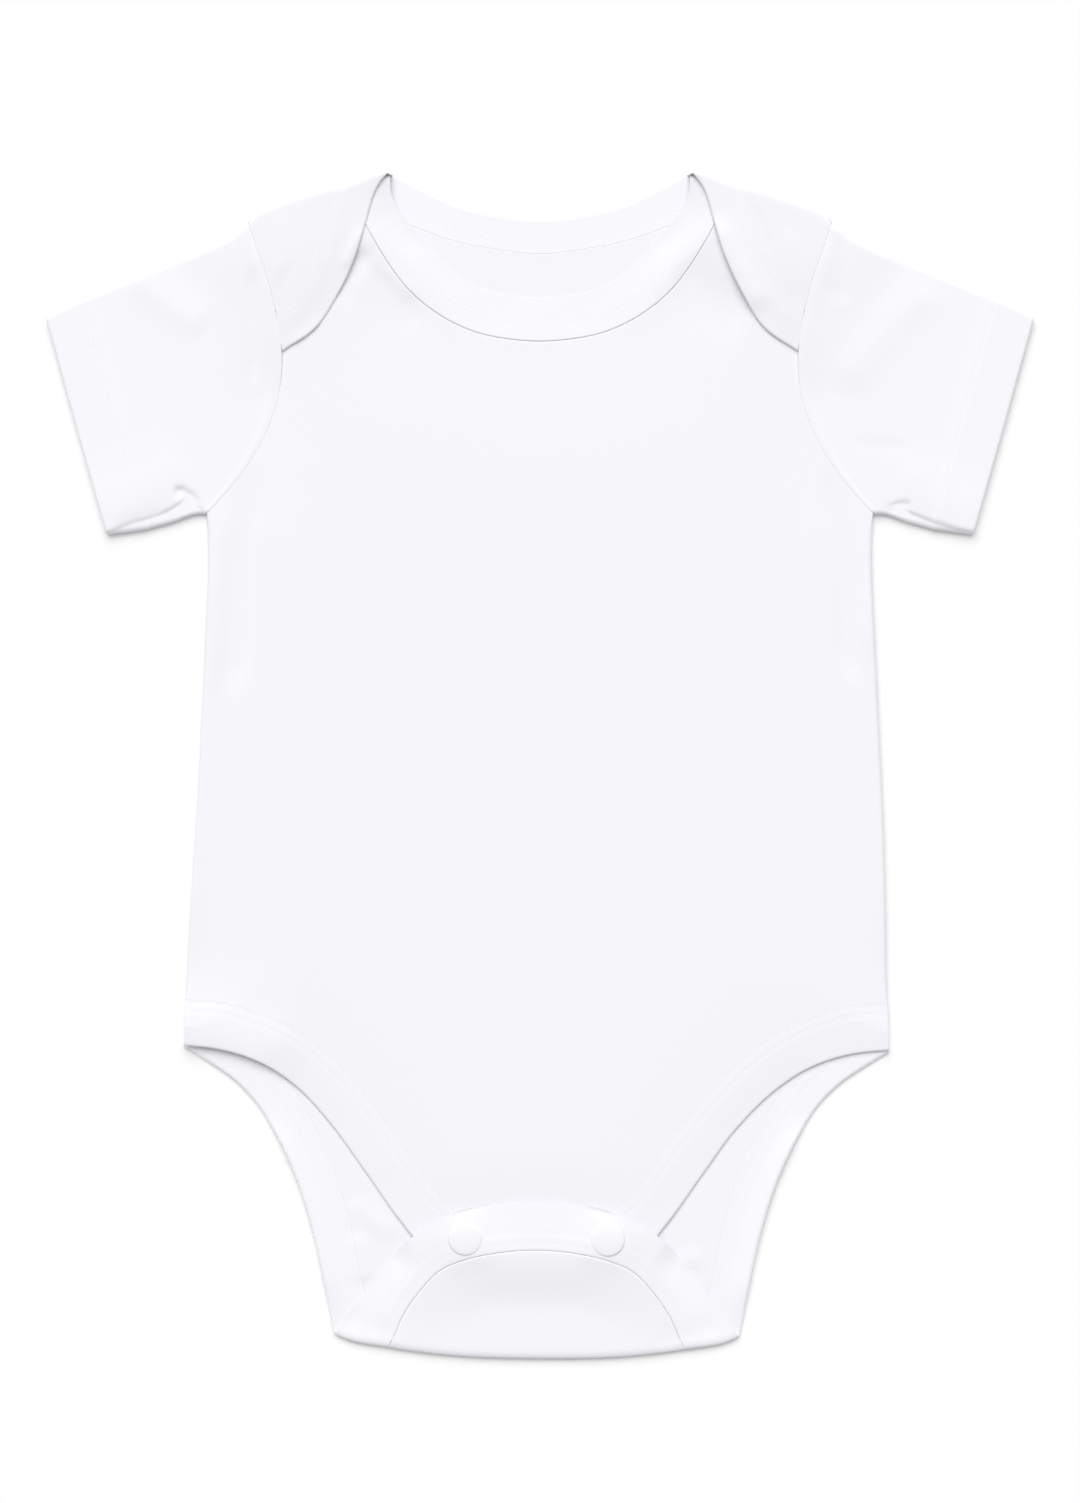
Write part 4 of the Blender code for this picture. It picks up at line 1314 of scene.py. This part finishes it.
class BODYSUIT_OT_sleeves(Operator):
    """Lays the sleeves and their hems"""

    bl_idname = "bodysuit.sleeves"
    bl_label = "Sleeves"

    def execute(self, context):
        sewing = context.scene.bodysuit_stitches
        # The sleeves take the jersey painted a shade lighter: painted light, not a different fabric
        jersey = finish_of("cotton_interlock_jersey_painted_lighter")
        thread = finish_of("spun_polyester_thread")
        sleeve = Patch(SLEEVE_TOP, SLEEVE_UNDER, ARMHOLE, SLEEVE_END)
        hem = Patch(HEM_TOP, HEM_UNDER, SLEEVE_END, CUFF)
        for side, hand in SIDES:
            for name, patch, wall, first, last, ridges, bend in (
                ("sleeve_", sleeve, JERSEY_WALL, ARM_SEAM, HEM_SEAM, SLEEVE_RIDGES, BACK_BEND),
                ("sleeve_hem_", hem, HEM_WALL, HEM_SEAM, HEMMED, HEM_RIDGES, SLEEVE_BEND),
            ):
                name += hand
                shape = tube_shape(side, patch, wall, first, last, ridges, bend)
                made = dress(add_shell(name + "_cloth", shape, wall, jersey), name)
                run, width = shape.cut[:, 0, 0], shape.cut[..., 1].max(axis=1)
                flat = (float(run[-1]) * MM, 2.0 * float(np.mean(width)) * MM)
                if patch is hem:
                    lines = [ring_row(shape, HEM_ROW)]
                    stitches(name + "_stitches", lines, thread, sewing, HEM_THREAD)
        return {"FINISHED"}


def moulding(radius, rise):
    """A shallow dome with a rounded rim: its points and faces."""
    out = radius * np.cos(MOULDING_TURNS)
    up = MOULDING_RIM + (rise - MOULDING_RIM) * np.sin(MOULDING_TURNS)
    out = np.concatenate((out, (radius, radius - MOULDING_RIM)))
    up = np.concatenate((up, (MOULDING_FOOT, 0.0)))
    around = np.linspace(0.0, 2.0 * math.pi, MOULDING_SIDES, endpoint=False)
    level = np.repeat(up[:, None], MOULDING_SIDES, axis=1)
    ring = np.stack((np.outer(out, np.cos(around)), np.outer(out, np.sin(around)), level), axis=-1)
    faces, rims = quads(len(out), MOULDING_SIDES, wrap=True)
    return ring.reshape(-1, 3), [tuple(face) for face in (*faces, *rims)]


class BODYSUIT_OT_snaps(Operator):
    """Makes the moulded snap caps, and the studs that they hold under the flap"""

    bl_idname = "bodysuit.snaps"
    bl_label = "Snaps"

    def execute(self, context):
        plastic = finish_of("moulded_polyacetal")
        flap = float(flap_rest(np.array(SNAP_OUT), np.array(SNAP_UP)))
        for side, hand in SIDES:
            for name, radius, rise, bottom in (
                ("snap_cap_" + hand, CAP_RADIUS, CAP_RISE, flap + BINDING_WALL + CAP_SEAT),
                ("snap_stud_" + hand, STUD_RADIUS, STUD_RISE, flap - STUD_GAP - STUD_RISE),
            ):
                places, faces = moulding(radius, rise)
                centre = settle(np.array(side * SNAP_OUT), np.array(SNAP_UP), np.array(bottom))
                made = add_mesh(name + "_moulding", places + centre, faces, plastic)
                dress(made, name)
        return {"FINISHED"}


class BODYSUIT_OT_stage(Operator):
    """Sets the pale floor, the soft light and the camera overhead"""

    bl_idname = "bodysuit.stage"
    bl_label = "Stage"

    def execute(self, context):
        stage = context.scene.bodysuit_stage
        scene = context.scene
        mesh = bpy.data.meshes.new("floor")
        half = FLOOR_HALF * MM
        corners = [(-half, -half, 0.0), (half, -half, 0.0), (half, half, 0.0), (-half, half, 0.0)]
        mesh.from_pydata(corners, [], [(0, 1, 2, 3)])
        mesh.materials.append(plain("matt_white_paper", "FCFCFC", 0.9))
        floor = bpy.data.objects.new("floor", mesh)
        floor.location.z = -FLOOR_DROP * MM
        scene.collection.objects.link(floor)

        world = bpy.data.worlds.new("white_dome")
        world.use_nodes = True
        dome = world.node_tree.nodes["Background"].inputs
        dome["Color"].default_value = (1.0, 1.0, 1.0, 1.0)
        dome["Strength"].default_value = stage.dome
        scene.world = world

        lamp = bpy.data.lights.new("key", "SUN")
        lamp.energy = stage.key
        lamp.angle = stage.key_spread
        key = bpy.data.objects.new("key", lamp)
        towards = Vector((*KEY_ALONG, math.tan(stage.key_rise)))
        key.rotation_euler = towards.to_track_quat("Z", "Y").to_euler()
        scene.collection.objects.link(key)

        lens = bpy.data.cameras.new("overhead")
        lens.lens = LENS
        camera = bpy.data.objects.new("overhead", lens)
        camera.location = (0.0, VIEW_UP * MM, VIEW_WIDTH * MM * lens.lens / lens.sensor_width)
        scene.collection.objects.link(camera)
        scene.camera = camera
        scene.view_settings.view_transform = "Standard"
        return {"FINISHED"}


class BODYSUIT_PT_sidebar(Panel):
    """Lists the steps in the order that they run"""

    bl_label = "Bodysuit"
    bl_space_type = "VIEW_3D"
    bl_region_type = "UI"
    bl_category = "Bodysuit"

    def draw(self, context):
        scene = context.scene
        for group in (scene.bodysuit_cloth, scene.bodysuit_stitches, scene.bodysuit_stage):
            for name in group.__annotations__:
                self.layout.prop(group, name)
        for step in STEPS:
            self.layout.operator(step.bl_idname)


STEPS = (
    BODYSUIT_OT_stage,
    BODYSUIT_OT_panels,
    BODYSUIT_OT_bindings,
    BODYSUIT_OT_sleeves,
    BODYSUIT_OT_snaps,
)
CLASSES = (BodysuitCloth, BodysuitStitches, BodysuitStage, *STEPS, BODYSUIT_PT_sidebar)


def register():
    for kind in CLASSES:
        bpy.utils.register_class(kind)
    bpy.types.Scene.bodysuit_cloth = PointerProperty(type=BodysuitCloth)
    bpy.types.Scene.bodysuit_stitches = PointerProperty(type=BodysuitStitches)
    bpy.types.Scene.bodysuit_stage = PointerProperty(type=BodysuitStage)


def unregister():
    del bpy.types.Scene.bodysuit_stage
    del bpy.types.Scene.bodysuit_stitches
    del bpy.types.Scene.bodysuit_cloth
    for kind in reversed(CLASSES):
        bpy.utils.unregister_class(kind)


def main():
    register()
    bpy.ops.bodysuit.stage()
    bpy.ops.bodysuit.panels()
    bpy.ops.bodysuit.bindings()
    bpy.ops.bodysuit.sleeves()
    bpy.ops.bodysuit.snaps()


if __name__ == "__main__":
    main()
